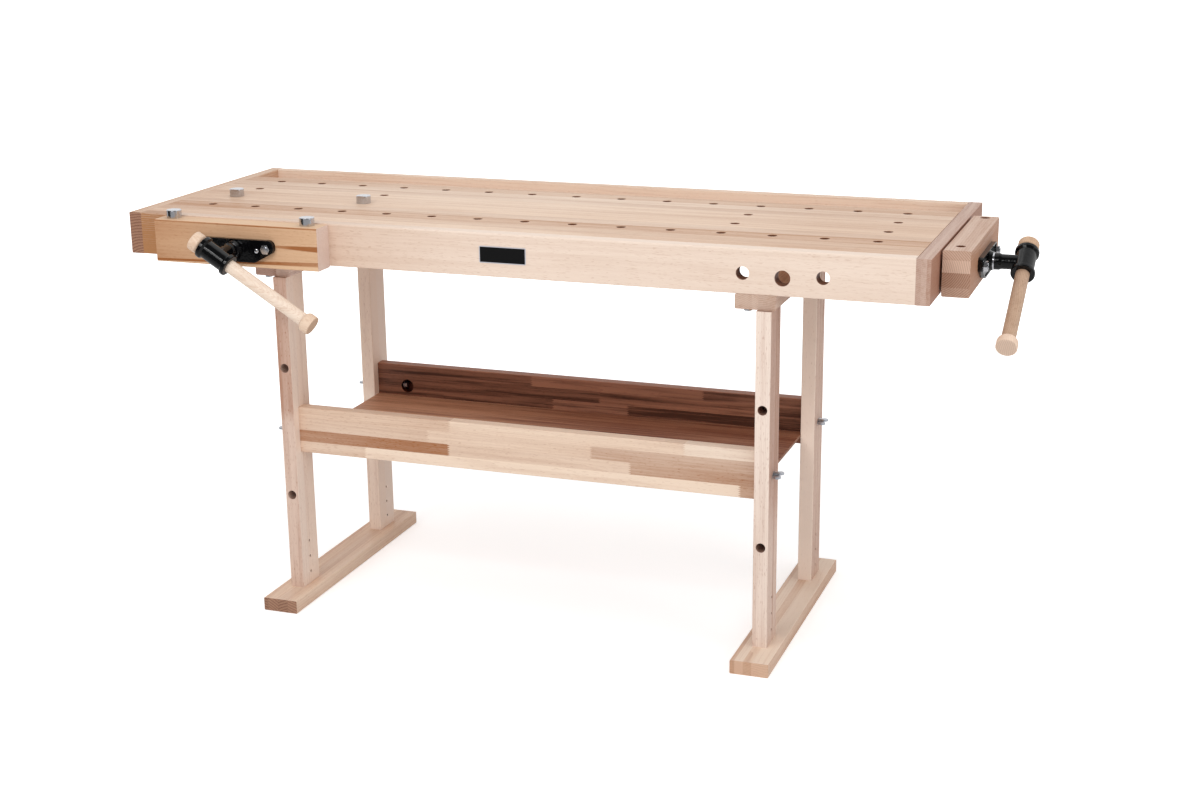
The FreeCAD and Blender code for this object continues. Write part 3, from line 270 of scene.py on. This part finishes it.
WOOD_ROUGHNESS = (0.42, 0.58)
WOOD_SPECULAR = 0.3
WOOD_BUMP = (0.22, 0.0004)
BUMP_FIBRES, BUMP_RINGS = 0.6, 0.4

# the teeth of end joints: how far apart in metres, and how much longer than wide
FINGER_PITCH = 0.0042
FINGER_SLOPE = 3.0

PLAIN = ((1.0, 0.3),)


def stave_tones(n, along, across, rows):
    """The number and the tone of the glued stave that a point lies in.

    rows holds (end across the board, tone), or (end, ((end along it, tone), ...)) for a row of
    finger-jointed lengths; all ends are shares of the board's size."""
    count = len(rows)
    starts = [0.0] + [end for end, _ in rows[:-1]]
    marks = [(step + 0.5) / count for step in range(count)]
    row = n.steps(across, list(zip(starts, marks)))
    plain = [0.0 if isinstance(tone, tuple) else tone for _, tone in rows]
    tone = n.steps(across, list(zip(starts, plain)))
    for mark, (_, lengths) in zip(marks, rows):
        if not isinstance(lengths, tuple):
            continue
        begins = [0.0] + [end for end, _ in lengths[:-1]]
        own = n.steps(along, list(zip(begins, [level for _, level in lengths])))
        here = n.math("COMPARE", row, mark, 0.3 / count)
        tone = n.math("ADD", tone, n.math("MULTIPLY", here, own))
    return row, tone


def hole_shade_share(n, place, low, high, hole_shade):
    """How much painted shade darkens a point for lying inside its piece's box, on the wall of a
    hole.
    """
    depths = [n.math("SUBTRACT", place[axis], low[axis]) for axis in range(3)]
    depths += [n.math("SUBTRACT", high[axis], place[axis]) for axis in range(3)]
    inside = depths[0]
    for depth in depths[1:]:
        inside = n.math("MINIMUM", inside, depth)
    return n.remap(inside, *WALL_DEPTH, 0.0, hole_shade)


def usual_ends(light, dark):
    """The light and the dark colour of a wood's end grain."""
    middle = tuple(shade * (1 - END_LIGHT_SHARE) + tint * END_LIGHT_SHARE
                   for shade, tint in zip(dark, light))
    return middle, darker(dark, END_DARK_SHARE)


def wood(node, grain, colours, seed, across, rows=PLAIN, finger=0.0, marks=None, streak=0.5,
         ring=0.0035, ring_depth=0.2, fleck=0.3, end_share=0.85, bold=1.0, ends=None, hole_shade=0.0):
    """Solid beech for one node.

    The grain runs along one axis, and rows are the staves glued side by side along another one.
    finger is the pitch of the teeth in end joints and ring the width of a growth ring, in metres.
    marks adds the piece's bands of tone, among them painted light and shade.  streak, ring_depth,
    fleck and bold say how strong its streaks, rings, ray flecks and broad changes of tone are,
    end_share how much end grain differs from the faces, and the last how much painted shade darkens
    its holes."""
    n = Material(f"wood_{node}")
    light, dark = colours
    low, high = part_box(node)
    g, a = AXES.index(grain), AXES.index(across)
    d = 3 - g - a
    place = n.split(n.place())
    u, v, w = [n.remap(place[axis], low[axis], high[axis]) for axis in (g, a, d)]

    # the toothed end joints show as a fine zigzag
    joint_u = u
    if finger:
        zigzag = n.math("PINGPONG", place[a], finger / 2)
        joint_u = n.math("ADD", u, n.math("MULTIPLY", zigzag, FINGER_SLOPE / (high[g] - low[g])))
    row, tone = stave_tones(n, joint_u, v, rows)

    # each stave has its own place in the wood
    own = n.split(n.white(n.join(row, tone, seed)))
    along = n.math("ADD", place[g], n.math("MULTIPLY", own[0], STAVE_ALONG))
    side = n.math("ADD", place[a], seed * SEED_ASIDE)
    deep = n.total(place[d], n.math("MULTIPLY", own[1], STAVE_DEEP), seed * SEED_DEEP)

    def figure(length_share, *settings):
        """Noise drawn out along the grain."""
        return n.noise(n.join(n.math("MULTIPLY", along, length_share), side, deep), *settings)

    # growth rings round a pith that lies outside the stave
    pith_a = n.total(place[a], -(low[a] + high[a]) / 2, n.remap(own[2], 0.0, 1.0, *PITH_ASIDE))
    pith_d = n.total(place[d], -(low[d] + high[d]) / 2, n.remap(own[0], 0.0, 1.0, *PITH_DEEP))
    radius = n.math("SQRT", n.math("ADD", n.math("MULTIPLY", pith_a, pith_a),
                                   n.math("MULTIPLY", pith_d, pith_d)))
    radius = n.math("ADD", radius, n.math("MULTIPLY", figure(*WANDER), RING_WANDER))
    phase = n.math("FRACT", n.math("DIVIDE", radius, ring))
    late_wood = n.remap(phase, LATE_WOOD_START, 1.0, smooth=True)

    # broad changes of tone, long streaks, fibres and short ray flecks
    broad = figure(*BROAD)
    streaks = n.remap(figure(*STREAKS), *STREAK_SPAN, smooth=True)
    fibres = figure(*FIBRES)
    flecks = n.remap(figure(*FLECKS), *FLECK_SPAN)

    def part(value, mean, share):
        """What a value adds to the dark wood, or takes from it, by its distance from its mean."""
        return n.math("MULTIPLY", n.math("SUBTRACT", value, mean), share)

    # the share of dark wood
    amount = n.total(tone, part(broad, BROAD_MEAN, BROAD_PART * bold),
                     part(late_wood, LATE_WOOD_MEAN, ring_depth),
                     part(streaks, STREAK_MEAN, STREAK_PART * streak),
                     part(fibres, FIBRE_MEAN, FIBRE_PART),
                     n.math("MULTIPLY", flecks, FLECK_PART * fleck),
                     marks(n, u, v, w) if marks else 0.0, clamp=True)

    # end grain is darker and shows the rings and pores
    facing = n.math("ABSOLUTE", n.vector("DOT_PRODUCT", n.normal(), UNIT[grain]))
    end = n.remap(facing, *END_FACING)
    pores = n.remap(figure(*PORES), *PORE_SPAN)
    end_amount = n.total(n.math("MULTIPLY", late_wood, END_RINGS),
                         n.math("MULTIPLY", pores, END_PORES),
                         n.math("MULTIPLY", tone, END_TONE), clamp=True)
    end_light, end_dark = ends or usual_ends(light, dark)

    colour = n.blend("MIX", amount, light, dark)
    warmth = n.math("MULTIPLY", own[2], WARM_STAVE_SHARE)
    colour = n.blend("MULTIPLY", warmth, colour, WARM_STAVE)
    end_colour = n.blend("MIX", end_amount, end_light, end_dark)
    colour = n.blend("MIX", n.math("MULTIPLY", end, end_share), colour, end_colour)
    # painted shade: the sides of holes are darkened
    colour = n.blend("MULTIPLY", hole_shade_share(n, place, low, high, hole_shade), colour, HOLE_SHADE)

    height = n.math("ADD", n.math("MULTIPLY", fibres, BUMP_FIBRES),
                    n.math("MULTIPLY", late_wood, BUMP_RINGS))
    n.surface({"Base Color": colour,
               "Roughness": n.remap(fibres, NOISE_LOW, NOISE_HIGH, *WOOD_ROUGHNESS),
               "Specular IOR Level": WOOD_SPECULAR,
               "Normal": n.bump(height, *WOOD_BUMP)})
    paint(node, n.material)


# ---------------------------------------------------------------- tones of single pieces

# The functions called marks take a point's shares along the grain (u), across the staves (v) and
# along the third axis (w), from 0 to 1, and give what its place adds to the share of dark wood;
# some of it is painted light and shade.

FAR_FACE = (0.985, 0.992)
NEAR_FACE = (0.008, 0.02)


def far_face(n, share, tone):
    """A tone for the face at an axis's end."""
    return n.remap(share, *FAR_FACE, 0.0, tone)


def apron_marks(n, u, v, w):
    """The apron is tan and lined beside the jaw; its left third is painted darker and warmer as the
    falloff of the light towards the left, and its upper edge is painted pale as a highlight."""
    line = 0.026
    lines = n.remap(n.math("PINGPONG", v, line), 0.0, line, 0.30, 0.62)
    lines = n.math("ADD", lines, n.remap(v, 0.0, 0.8, 0.24, 0.0))
    beside = n.math("MULTIPLY", n.remap(u, 0.045, 0.055, 1.0, 0.0), lines)
    # painted falloff of the light: darker and warmer in the left third
    left_falloff = n.remap(u, 0.14, 0.56, 0.38, 0.0, smooth=True)
    # painted highlight along the upper edge
    edge = n.math("MULTIPLY", n.remap(v, 0.95, 0.97), -0.14)
    return n.total(beside, left_falloff, edge)


def top_marks(n, u, v, w):
    """The worktop is painted darker towards its left end as the falloff of the light, is darker
    towards its right end, and has two thin dark glue lines.
    """
    # painted falloff of the light towards the left end
    left = n.remap(u, 0.0, 0.30, 0.19, -0.06)
    right = n.remap(u, 0.5, 0.85, 0.0, 0.18)
    half, soft = 0.004, 0.006
    seam = n.math("MULTIPLY", n.band(v, 0.275, half, soft), 0.34)
    rear_seam = n.math("MULTIPLY", n.band(v, 0.785, half, soft), 0.32)
    return n.total(left, seam, rear_seam, right)


def jaw_marks(n, u, v, w):
    """The front jaw has a golden line along its upper edge, a brown band low down that widens to
    the right, a pale strip below it, a brown wedge at the right end and a pale top; it is painted
    darker at its left end and paler at its right, as the falloff of the light."""
    outer = n.remap(w, 0.02, 0.06, 1.0, 0.0)
    golden = n.math("MULTIPLY", outer, n.remap(u, 0.15, 0.6, 0.3, 0.62))
    edge = n.math("MULTIPLY", n.band(v, 0.978, 0.012, 0.010), golden)
    # the band and the strip below it rise to the right
    slant = n.math("SUBTRACT", v, n.math("MULTIPLY", u, 0.10))
    half = n.remap(u, 0.4, 1.0, 0.020, 0.048)
    strength = n.remap(u, 0.4, 1.0, 0.75, 0.5)
    low_band = n.math("MULTIPLY", n.band(slant, 0.055, half, 0.012), strength)
    below = n.remap(slant, 0.02, 0.03, -0.3, 0.0)
    # the wedge falls to the right
    gap = n.math("ABSOLUTE", n.total(v, n.math("MULTIPLY", u, 0.05), -0.565))
    width = n.remap(u, 0.66, 1.0, 0.0, 0.05)
    wedge = n.remap(n.math("SUBTRACT", gap, width), 0.0, 0.03, 0.8, 0.0, smooth=True)
    wedge = n.math("MULTIPLY", wedge, n.remap(u, 0.58, 0.85))
    top = n.remap(v, 0.992, 0.996, 0.0, -0.42)
    # painted falloff of the light: darker towards the left end, paler towards the right
    left = n.remap(u, 0.0, 0.35, 0.22, 0.0)
    right = n.remap(u, 0.3, 1.0, 0.0, -0.16)
    return n.total(edge, low_band, wedge, below, top, left, right)


def foot_side_shade(side_shade):
    """A foot whose right side is painted darker, as the shade that falls on it."""
    def marks(n, u, v, w):
        return far_face(n, v, side_shade)
    return marks


def end_jaw_marks(n, u, v, w):
    """The end jaw is darker on top, and its outer face is painted evenly darker as the shade that
    falls on it, so its pale stave doesn't show there.
    """
    outer = n.remap(w, 0.985, 0.995, 0.0, 0.55)
    even = n.math("MULTIPLY", outer, n.band(v, 0.655, 0.135, 0.004))
    return n.total(outer, far_face(n, v, 0.26), even)


def right_cap_marks(n, u, v, w):
    """The right cap is paler on top, and its outer face is painted darker, as the shade that falls
    on it.
    """
    return n.math("ADD", far_face(n, w, -0.04), far_face(n, v, 0.7))


def left_cap_marks(n, u, v, w):
    """The left cap is golden on the inner face that closes the tray, and a little darker on top."""
    return n.math("ADD", far_face(n, v, 0.35), far_face(n, w, 0.2))


def leg_tones(front_low, front_high, side, side_low=1.0):
    """A leg whose front face changes tone half way up, and whose other faces have another tone,
    which is side_low times as strong at the foot; some of these tones are painted light and shade."""
    def marks(n, u, v, w):
        front_share = n.remap(v, *NEAR_FACE, 1.0, 0.0)
        side_share = n.math("SUBTRACT", 1.0, front_share)
        front = n.remap(u, 0.54, 0.58, front_low, front_high)
        faded = n.remap(u, 0.30, 0.56, side * side_low, side, smooth=True)
        return n.total(n.math("MULTIPLY", front_share, front),
                       n.math("MULTIPLY", side_share, faded))
    return marks


def highlit_top_edge(n, u, v, w):
    """A dark board whose upper edge is painted paler, as a highlight along it."""
    return far_face(n, v, -0.6)


def shelf_marks(n, u, v, w):
    """The shelf is paler at its left end."""
    return n.remap(u, 0.0, 0.6, -0.25, 0.40)


# ---------------------------------------------------------------- wooden pieces

# the worktop's staves from the apron to the tray
TOP_ROWS = ((0.07, 0.30), (0.16, 0.42), (0.27, 0.58), (0.37, 0.40), (0.49, 0.22), (0.60, 0.30),
            (0.70, 0.16), (0.78, 0.34), (0.88, 0.24), (1.0, 0.52))

# the stretchers' rows of finger-jointed lengths, upwards
FRONT_STRETCHER_ROWS = ((0.25, ((0.155, 0.34), (0.967, 0.0), (1.0, 0.60))),
                        (0.50, ((0.346, 0.80), (0.74, 0.28), (1.0, 0.55))),
                        (0.76, ((0.30, 0.36), (0.657, 0.24), (1.0, 0.52))),
                        (1.0, ((0.35, 0.34), (0.854, 0.16), (1.0, 0.05))))
REAR_STRETCHER_ROWS = ((0.25, 0.6),
                       (0.50, ((0.43, 0.80), (0.607, 0.35), (1.0, 0.90))),
                       (0.76, ((0.542, 0.75), (0.90, 0.52), (1.0, 0.66))),
                       (1.0, ((0.38, 0.60), (0.778, 0.34), (1.0, 0.46))))

# each leg's staves and tones
# the left front leg's front face is painted darker above half way, as the shade of the front jaw;
# the left rear leg's other faces are painted paler, as the light that falls on them
LEGS = {"left_front": (((0.40, 0.04), (0.72, 0.10), (1.0, 0.02)), leg_tones(0.46, 0.76, -0.08)),
        "left_rear": (((0.45, 0.02), (0.75, 0.06), (1.0, 0.0)), leg_tones(0.0, -0.02, -0.30)),
        "right_front": (((0.55, 0.0), (0.62, 0.20), (1.0, -0.10)),
                        leg_tones(0.16, 0.14, 0.86, 0.55)),
        "right_rear": (((0.70, 0.02), (1.0, 0.06)), leg_tones(-0.22, -0.18, 0.54))}
LEG_SEED, LEG_SEED_STEP = 18.4, 1.9


def paint_top():
    wood("worktop_panel", "X", BEECH, 3.1, "Y", TOP_ROWS, marks=top_marks, hole_shade=1.0,
         ring_depth=0.12, bold=0.7)
    wood("front_apron", "X", APRON, 1.7, "Z", ((1.0, 0.10),), marks=apron_marks, streak=0.22,
         bold=0.4, ring_depth=0.03, hole_shade=0.9)
    wood("left_end_cap", "Y", BEECH, 5.3, "X", ((1.0, 0.38),), end_share=1.0, ends=DARK_ENDS,
         ring=0.006, marks=left_cap_marks)
    wood("right_end_cap", "Y", CAP, 6.4, "X", ((0.33, 0.72), (0.7, 0.64), (1.0, 0.76)),
         end_share=0.1, bold=0.4, streak=0.3, ring_depth=0.08, marks=right_cap_marks)
    wood("back_rail", "X", BEECH, 8.1, "Z", ((0.985, 0.06), (1.0, 0.30)))
    wood("rear_rib", "X", BEECH, 8.7, "Z", ((1.0, 0.35),))
    wood("tray_floor", "X", BEECH, 9.4, "Y", ((0.5, 0.3), (1.0, 0.45)))
    wood("cap_dowels", "X", BEECH, 41.0, "Z")


def paint_frames():
    wood("left_foot", "Y", FOOT, 11.2, "X", ((0.12, 0.50), (0.42, 0.30), (0.72, 0.42), (1.0, 0.22)),
         ends=FOOT_ENDS, end_share=1.0, ring=0.006, ring_depth=0.12, streak=0.4,
         marks=foot_side_shade(0.04))
    wood("right_foot", "Y", FOOT, 13.9, "X",
         ((0.12, 0.44), (0.34, 0.0), (0.56, 0.32), (1.0, -0.06)),
         end_share=0.75, ends=WARM_ENDS, streak=0.4, marks=foot_side_shade(0.54))
    wood("left_bearer", "Y", PINK, 15.5, "X", ((0.6, 0.70), (1.0, 0.22)), end_share=0.5)
    wood("right_bearer", "Y", PINK_BEECH, 16.5, "X", ((0.42, 0.46), (0.58, 0.34), (1.0, 0.56)),
         end_share=0.5)
    for index, (leg, (rows, marks)) in enumerate(LEGS.items()):
        wood(f"{leg}_leg", "Z", LEG, LEG_SEED + index * LEG_SEED_STEP, "Y", rows, marks=marks,
             fleck=0.5, ring=0.0025, bold=0.6, hole_shade=0.5, ring_depth=0.12)


def paint_stretchers():
    wood("front_stretcher", "X", STRETCHER, 26.3, "Z", FRONT_STRETCHER_ROWS, finger=FINGER_PITCH,
         bold=0.5, streak=0.3, ring_depth=0.07, hole_shade=1.0)
    wood("rear_stretcher", "X", SHADED_BROWN, 29.9, "Z", REAR_STRETCHER_ROWS, finger=FINGER_PITCH,
         streak=1.3, bold=1.3, hole_shade=1.0, marks=highlit_top_edge)
    wood("shelf_panel", "X", SHADED_SHELF, 31.2, "Y", ((1.0, 0.45),), marks=shelf_marks, streak=0.8,
         bold=0.7)


def paint_jaws():
    wood("front_jaw", "X", TAN, 35.6, "Z", ((1.0, 0.38),), marks=jaw_marks, streak=0.2, hole_shade=0.8,
         end_share=1.0, ends=TAN_ENDS, ring_depth=0.05, bold=0.5)
    wood("end_jaw", "Y", PINK_BEECH, 38.2, "Z",
         ((0.20, 0.56), (0.52, 0.86), (0.79, 0.04), (1.0, 0.38)),
         end_share=0.9, ends=JAW_ENDS, marks=end_jaw_marks, hole_shade=1.0, ring=0.004,
         ring_depth=0.12)


def paint_handles():
    handles = (("front", "X", 50.1, (CREAM, KNOB_CREAM, KNOB_CREAM)),
               ("end", "Y", 52.7, (GOLD, KNOB_GOLD, PALE_GOLD)))
    for side, grain, seed, woods in handles:
        for part, colours in zip(("handle_bar", "upper_knob", "lower_knob"), woods):
            wood(f"{side}_{part}", grain, colours, seed, "Z", fleck=0.7, bold=0.5)


# ---------------------------------------------------------------- metals

# scratches a metre, how dark they are, how much rougher, and how crowned the dogs' faces are
SCRATCHES = 900.0
DULL_SHARE = 0.8
ROUGHNESS_SPREAD = 0.12
DOG_CROWN = -9.0


def enamel(name):
    """Black enamel on cast iron, whose skin is slightly uneven."""
    n = Material(name)
    skin = n.noise(n.place(), 190.0, 3.0)
    n.surface({"Base Color": n.blend("MIX", skin, linear(5, 5, 6), linear(13, 13, 15)),
               "Roughness": n.remap(skin, NOISE_LOW, NOISE_HIGH, 0.05, 0.12),
               "Normal": n.bump(skin, 0.4, 0.0007),
               "Specular IOR Level": 0.28})
    return n.material


def metal(name, bright, dull, rough, upright):
    """Bare metal and its fine scratches, drawn out upwards to a share of their height."""
    n = Material(name)
    scratches = n.noise(n.vector("MULTIPLY", n.place(), (1.0, 1.0, upright)), SCRATCHES)
    n.surface({"Base Color": n.blend("MIX", scratches, bright, dull),
               "Roughness": n.remap(scratches, NOISE_LOW, NOISE_HIGH,
                                    rough, rough + ROUGHNESS_SPREAD),
               "Metallic": 1.0})
    return n, scratches


def steel(name, tone, rough):
    n, scratches = metal(name, tone, darker(tone, DULL_SHARE), rough, 0.08)
    n.surface({"Normal": n.bump(scratches, 0.1, 0.0002)})
    return n.material


def dog_steel(node):
    """Polished steel whose upright faces are very slightly crowned."""
    n, _ = metal(f"steel_{node}", linear(212, 213, 218), linear(186, 187, 193), 0.08, 0.1)
    low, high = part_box(node)
    x, y, _ = n.split(n.vector("SUBTRACT", n.place(), tuple((low + high) / 2)))
    distance = n.math("ADD", n.math("MULTIPLY", x, x), n.math("MULTIPLY", y, y))
    upwards = n.math("ABSOLUTE", n.split(n.normal())[2])
    crown = n.math("MULTIPLY", distance, n.remap(upwards, 0.2, 0.5, DOG_CROWN, 0.0))
    n.surface({"Normal": n.bump(crown, 1.0, 1.0)})
    return n.material


def paint_hardware():
    black = enamel("black_enamel")
    bright = steel("bright_steel", linear(214, 215, 220), 0.10)
    zinc = steel("zinc_plate", linear(196, 200, 208), 0.24)
    for side in ("front", "end"):
        for part in ("vise_plate", "handle_hub", "nut_casting"):
            paint(f"{side}_{part}", black)
        for part in ("guide_rods", "guide_nuts", "plate_screws", "thrust_ring", "collar"):
            paint(f"{side}_{part}", bright)
        paint(f"{side}_flange_screws", zinc)
        make_thread(side, bright)
    for node in ("top_left_dog", "top_right_dog", "jaw_left_dog", "jaw_right_dog"):
        paint(node, dog_steel(node))
    for node in ("top_fixing_bolts", "stretcher_rods", "rod_washers", "rod_nuts", "wing_nuts"):
        paint(node, zinc)


# the vise screws' trapezoidal thread: lengths in metres, crest and flanks as shares of half a turn
THREAD_PITCH = 0.005
THREAD_DEPTH = 0.0024
THREAD_CREST = 0.28
THREAD_FLANK = 0.44
THREAD_SIDES = 28
RINGS_PER_TURN = 8
THREAD_START = 0.003
END_CHAMFER = 0.0025


def thread_height(turns):
    """The thread's depth at a share of its turn, from 1 at the root to 0 at the crest."""
    from_crest = abs(turns % 1.0 - 0.5) * 2
    return min(max((from_crest - THREAD_CREST) / THREAD_FLANK, 0.0), 1.0)


def make_thread(side, material):
    """The vise screw with its right-hand trapezoidal thread, in the place of its plain solid."""
    node = f"{side}_screw"
    low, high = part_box(node)
    axis = 1 if side == "front" else 0
    first, second = (2, 0) if side == "front" else (1, 2)
    centre = (low + high) / 2
    radius = (high[first] - low[first]) / 2
    collar_low, collar_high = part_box(f"{side}_collar")
    # the thread starts behind the retaining collar and runs to the inner end
    if side == "front":
        start, finish, inner = low[axis], high[axis], collar_high[axis] + THREAD_START
    else:
        start, finish, inner = high[axis], low[axis], collar_low[axis] - THREAD_START
    way = 1.0 if finish > start else -1.0
    length = abs(finish - start)
    plain = abs(inner - start)
    step = THREAD_PITCH / RINGS_PER_TURN
    distances = [0.0, plain]
    distances += [plain + step * count for count in range(1, int((length - plain) / step))]
    distances.append(length)
    vertices, faces = [], []
    for distance in distances:
        level = start + way * distance
        chamfer = max(distance - (length - END_CHAMFER), 0.0)
        for corner in range(THREAD_SIDES):
            angle = 2 * math.pi * corner / THREAD_SIDES
            depth = 0.0
            if distance > plain:
                turns = level / THREAD_PITCH - corner / THREAD_SIDES
                depth = THREAD_DEPTH * thread_height(turns)
            reach = min(radius - depth, radius - chamfer)
            point = [0.0, 0.0, 0.0]
            point[axis] = level
            point[first] = centre[first] + reach * math.cos(angle)
            point[second] = centre[second] + reach * math.sin(angle)
            vertices.append(point)
    rings = len(distances)
    for ring in range(rings - 1):
        for corner in range(THREAD_SIDES):
            here = ring * THREAD_SIDES + corner
            beside = ring * THREAD_SIDES + (corner + 1) % THREAD_SIDES
            faces.append((here, beside, beside + THREAD_SIDES, here + THREAD_SIDES))
    faces.append(tuple(range(THREAD_SIDES))[::-1])
    faces.append(tuple(range((rings - 1) * THREAD_SIDES, rings * THREAD_SIDES)))
    if way < 0:
        faces = [face[::-1] for face in faces]
    mesh = bpy.data.meshes.new(f"{side}_threaded_screw")
    mesh.from_pydata(vertices, [], faces)
    mesh.polygons.foreach_set("use_smooth", [len(face) == 4 for face in faces])
    mesh.materials.append(material)
    screw = bpy.data.objects.new(f"{side}_threaded_screw", mesh)
    bpy.context.scene.collection.objects.link(screw)
    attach(screw, f"{side}_screw_group")
    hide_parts(node)


BADGE_CORNER = 0.003
BADGE_BORDER = (0.0016, 0.0020)


def paint_badge():
    """A bare black plate with round corners and a thin pale border."""
    n = Material("badge_black")
    low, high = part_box("badge_plate")
    centre, half = (low + high) / 2, (high - low) / 2
    place = n.place()
    x, _, z = n.split(n.vector("SUBTRACT", place, tuple(centre)))
    # how far a point lies inside the plate's rounded outline
    across = n.math("SUBTRACT", n.math("ABSOLUTE", x), half.x - BADGE_CORNER)
    up = n.math("SUBTRACT", n.math("ABSOLUTE", z), half.z - BADGE_CORNER)
    beyond = n.join(n.math("MAXIMUM", across, 0.0), n.math("MAXIMUM", up, 0.0), 0.0)
    inside = n.math("MINIMUM", n.math("MAXIMUM", across, up), 0.0)
    depth = n.math("SUBTRACT", BADGE_CORNER, n.math("ADD", n.vector("LENGTH", beyond), inside))
    face_share = n.remap(depth, *BADGE_BORDER)
    grit = n.noise(place, 1800.0)
    face = n.blend("MIX", grit, linear(7, 7, 8), linear(15, 14, 15))
    n.surface({"Base Color": n.blend("MIX", face_share, linear(196, 194, 200), face),
               "Roughness": n.remap(grit, NOISE_LOW, NOISE_HIGH, 0.36, 0.48),
               "Specular IOR Level": 0.2,
               "Normal": n.bump(grit, 0.1, 0.0002)})
    paint("badge_plate", n.material)


# ---------------------------------------------------------------- studio

CAMERA_PLACE = (1.3594, -3.6335, 1.5703)
CAMERA_ANGLES = (-19.899, -16.205, -0.6613)
LENS, SENSOR = 55.717, 36.0

FLOOR_SIZE = 30.0
FLOOR_WHITE = (0.88, 0.88, 0.88, 1.0)
FLAG_BLACK = (0.03, 0.03, 0.03, 1.0)

# what the world gives to the bench's surfaces, and to its gloss behind the camera and before it
WORLD_LIGHT = 0.73
ROOM_DARK, ROOM_LIGHT = 0.12, 1.0

# each lamp's name, place, target, size and power
LAMPS = (("key", (-0.5, -3.1, 2.6), (0.2, 0.0, 0.5), (1.8, 1.2), 26.0),
         ("strip", (-0.9, -2.2, 2.4), (-0.5, -0.2, 0.8), (1.2, 0.12), 6.0),
         ("fill", (3.3, -1.2, 1.5), (0.0, 0.0, 0.5), (1.6, 1.2), 16.0),
         ("overhead", (0.3, 0.3, 3.2), (0.1, 0.0, 0.6), (2.6, 1.2), 6.5))


def make_camera():
    """The camera of a studio photograph, solved from the bench's own corners."""
    yaw, pitch, roll = (math.radians(angle) for angle in CAMERA_ANGLES)
    ahead = Vector((math.sin(yaw) * math.cos(pitch), math.cos(yaw) * math.cos(pitch),
                    math.sin(pitch)))
    level = Vector((math.cos(yaw), -math.sin(yaw), 0.0))
    upright = level.cross(ahead)
    right = math.cos(roll) * level + math.sin(roll) * upright
    up = -math.sin(roll) * level + math.cos(roll) * upright
    camera = bpy.data.objects.new("camera", bpy.data.cameras.new("camera"))
    camera.data.lens = LENS
    camera.data.sensor_width = SENSOR
    turn = Matrix((right, up, -ahead)).transposed().to_4x4()
    camera.matrix_world = Matrix.Translation(Vector(CAMERA_PLACE)) @ turn
    bpy.context.scene.collection.objects.link(camera)
    bpy.context.scene.camera = camera


def make_floor():
    """A white studio floor: it keeps the bench's shadow and is seen as white."""
    size = FLOOR_SIZE
    mesh = bpy.data.meshes.new("floor")
    corners = [(-size, -size, 0.0), (size, -size, 0.0), (size, size, 0.0), (-size, size, 0.0)]
    mesh.from_pydata(corners, [], [(0, 1, 2, 3)])
    floor = bpy.data.objects.new("floor", mesh)
    bpy.context.scene.collection.objects.link(floor)
    n = Material("pale_floor")
    path = n.add("ShaderNodeLightPath").outputs
    seen = n.math("MAXIMUM", path["Is Camera Ray"], path["Is Transmission Ray"])
    position = n.add("ShaderNodeNewGeometry").outputs["Position"]
    # a dark flag lies before the bench for the gloss of metal and enamel
    x, y, _ = n.split(position)
    flag = n.math("MULTIPLY", n.remap(y, -0.6, -1.6), n.remap(x, -2.5, -3.0, 0.35, 1.0))
    flag = n.math("MULTIPLY", flag, path["Is Glossy Ray"])
    # the floor shows its shadows near the bench and is plain white farther off
    lift = n.remap(n.vector("LENGTH", position), 0.9, 3.2, 0.46, 1.0)
    n.surface({"Base Color": n.blend("MIX", flag, FLOOR_WHITE, FLAG_BLACK),
               "Roughness": 0.9,
               "Specular IOR Level": 0.1,
               "Emission Color": WHITE,
               "Emission Strength": n.math("MULTIPLY", seen, lift)})
    mesh.materials.append(n.material)


def make_world():
    """White where it is seen, even light on the bench, and a darker room behind the camera for
    the gloss of metal and enamel."""
    world = bpy.data.worlds.new("studio")
    world.use_nodes = True
    bpy.context.scene.world = world
    n = Nodes(world.node_tree)
    path = n.add("ShaderNodeLightPath").outputs
    seen = n.math("MAXIMUM", path["Is Camera Ray"], path["Is Transmission Ray"])
    _, y, _ = n.split(n.add("ShaderNodeTexCoord").outputs["Generated"])
    room = n.remap(y, -0.1, 0.5, ROOM_DARK, ROOM_LIGHT)
    unseen = n.between(path["Is Glossy Ray"], WORLD_LIGHT, room)
    background = n.tree.nodes["Background"]
    n.fill_named(background, Color=WHITE, Strength=n.between(seen, unseen, 1.0))


def make_lights():
    for name, place, target, size, power in LAMPS:
        data = bpy.data.lights.new(name, "AREA")
        data.shape = "RECTANGLE"
        data.size, data.size_y = size
        data.energy = power
        lamp = bpy.data.objects.new(name, data)
        lamp.location = place
        aim = Vector(target) - Vector(place)
        lamp.rotation_euler = aim.to_track_quat("-Z", "Y").to_euler()
        bpy.context.scene.collection.objects.link(lamp)


make_camera()
make_floor()
make_world()
make_lights()
paint_top()
paint_frames()
paint_stretchers()
paint_jaws()
paint_handles()
paint_hardware()
paint_badge()
bpy.context.scene.view_settings.view_transform = "Standard"
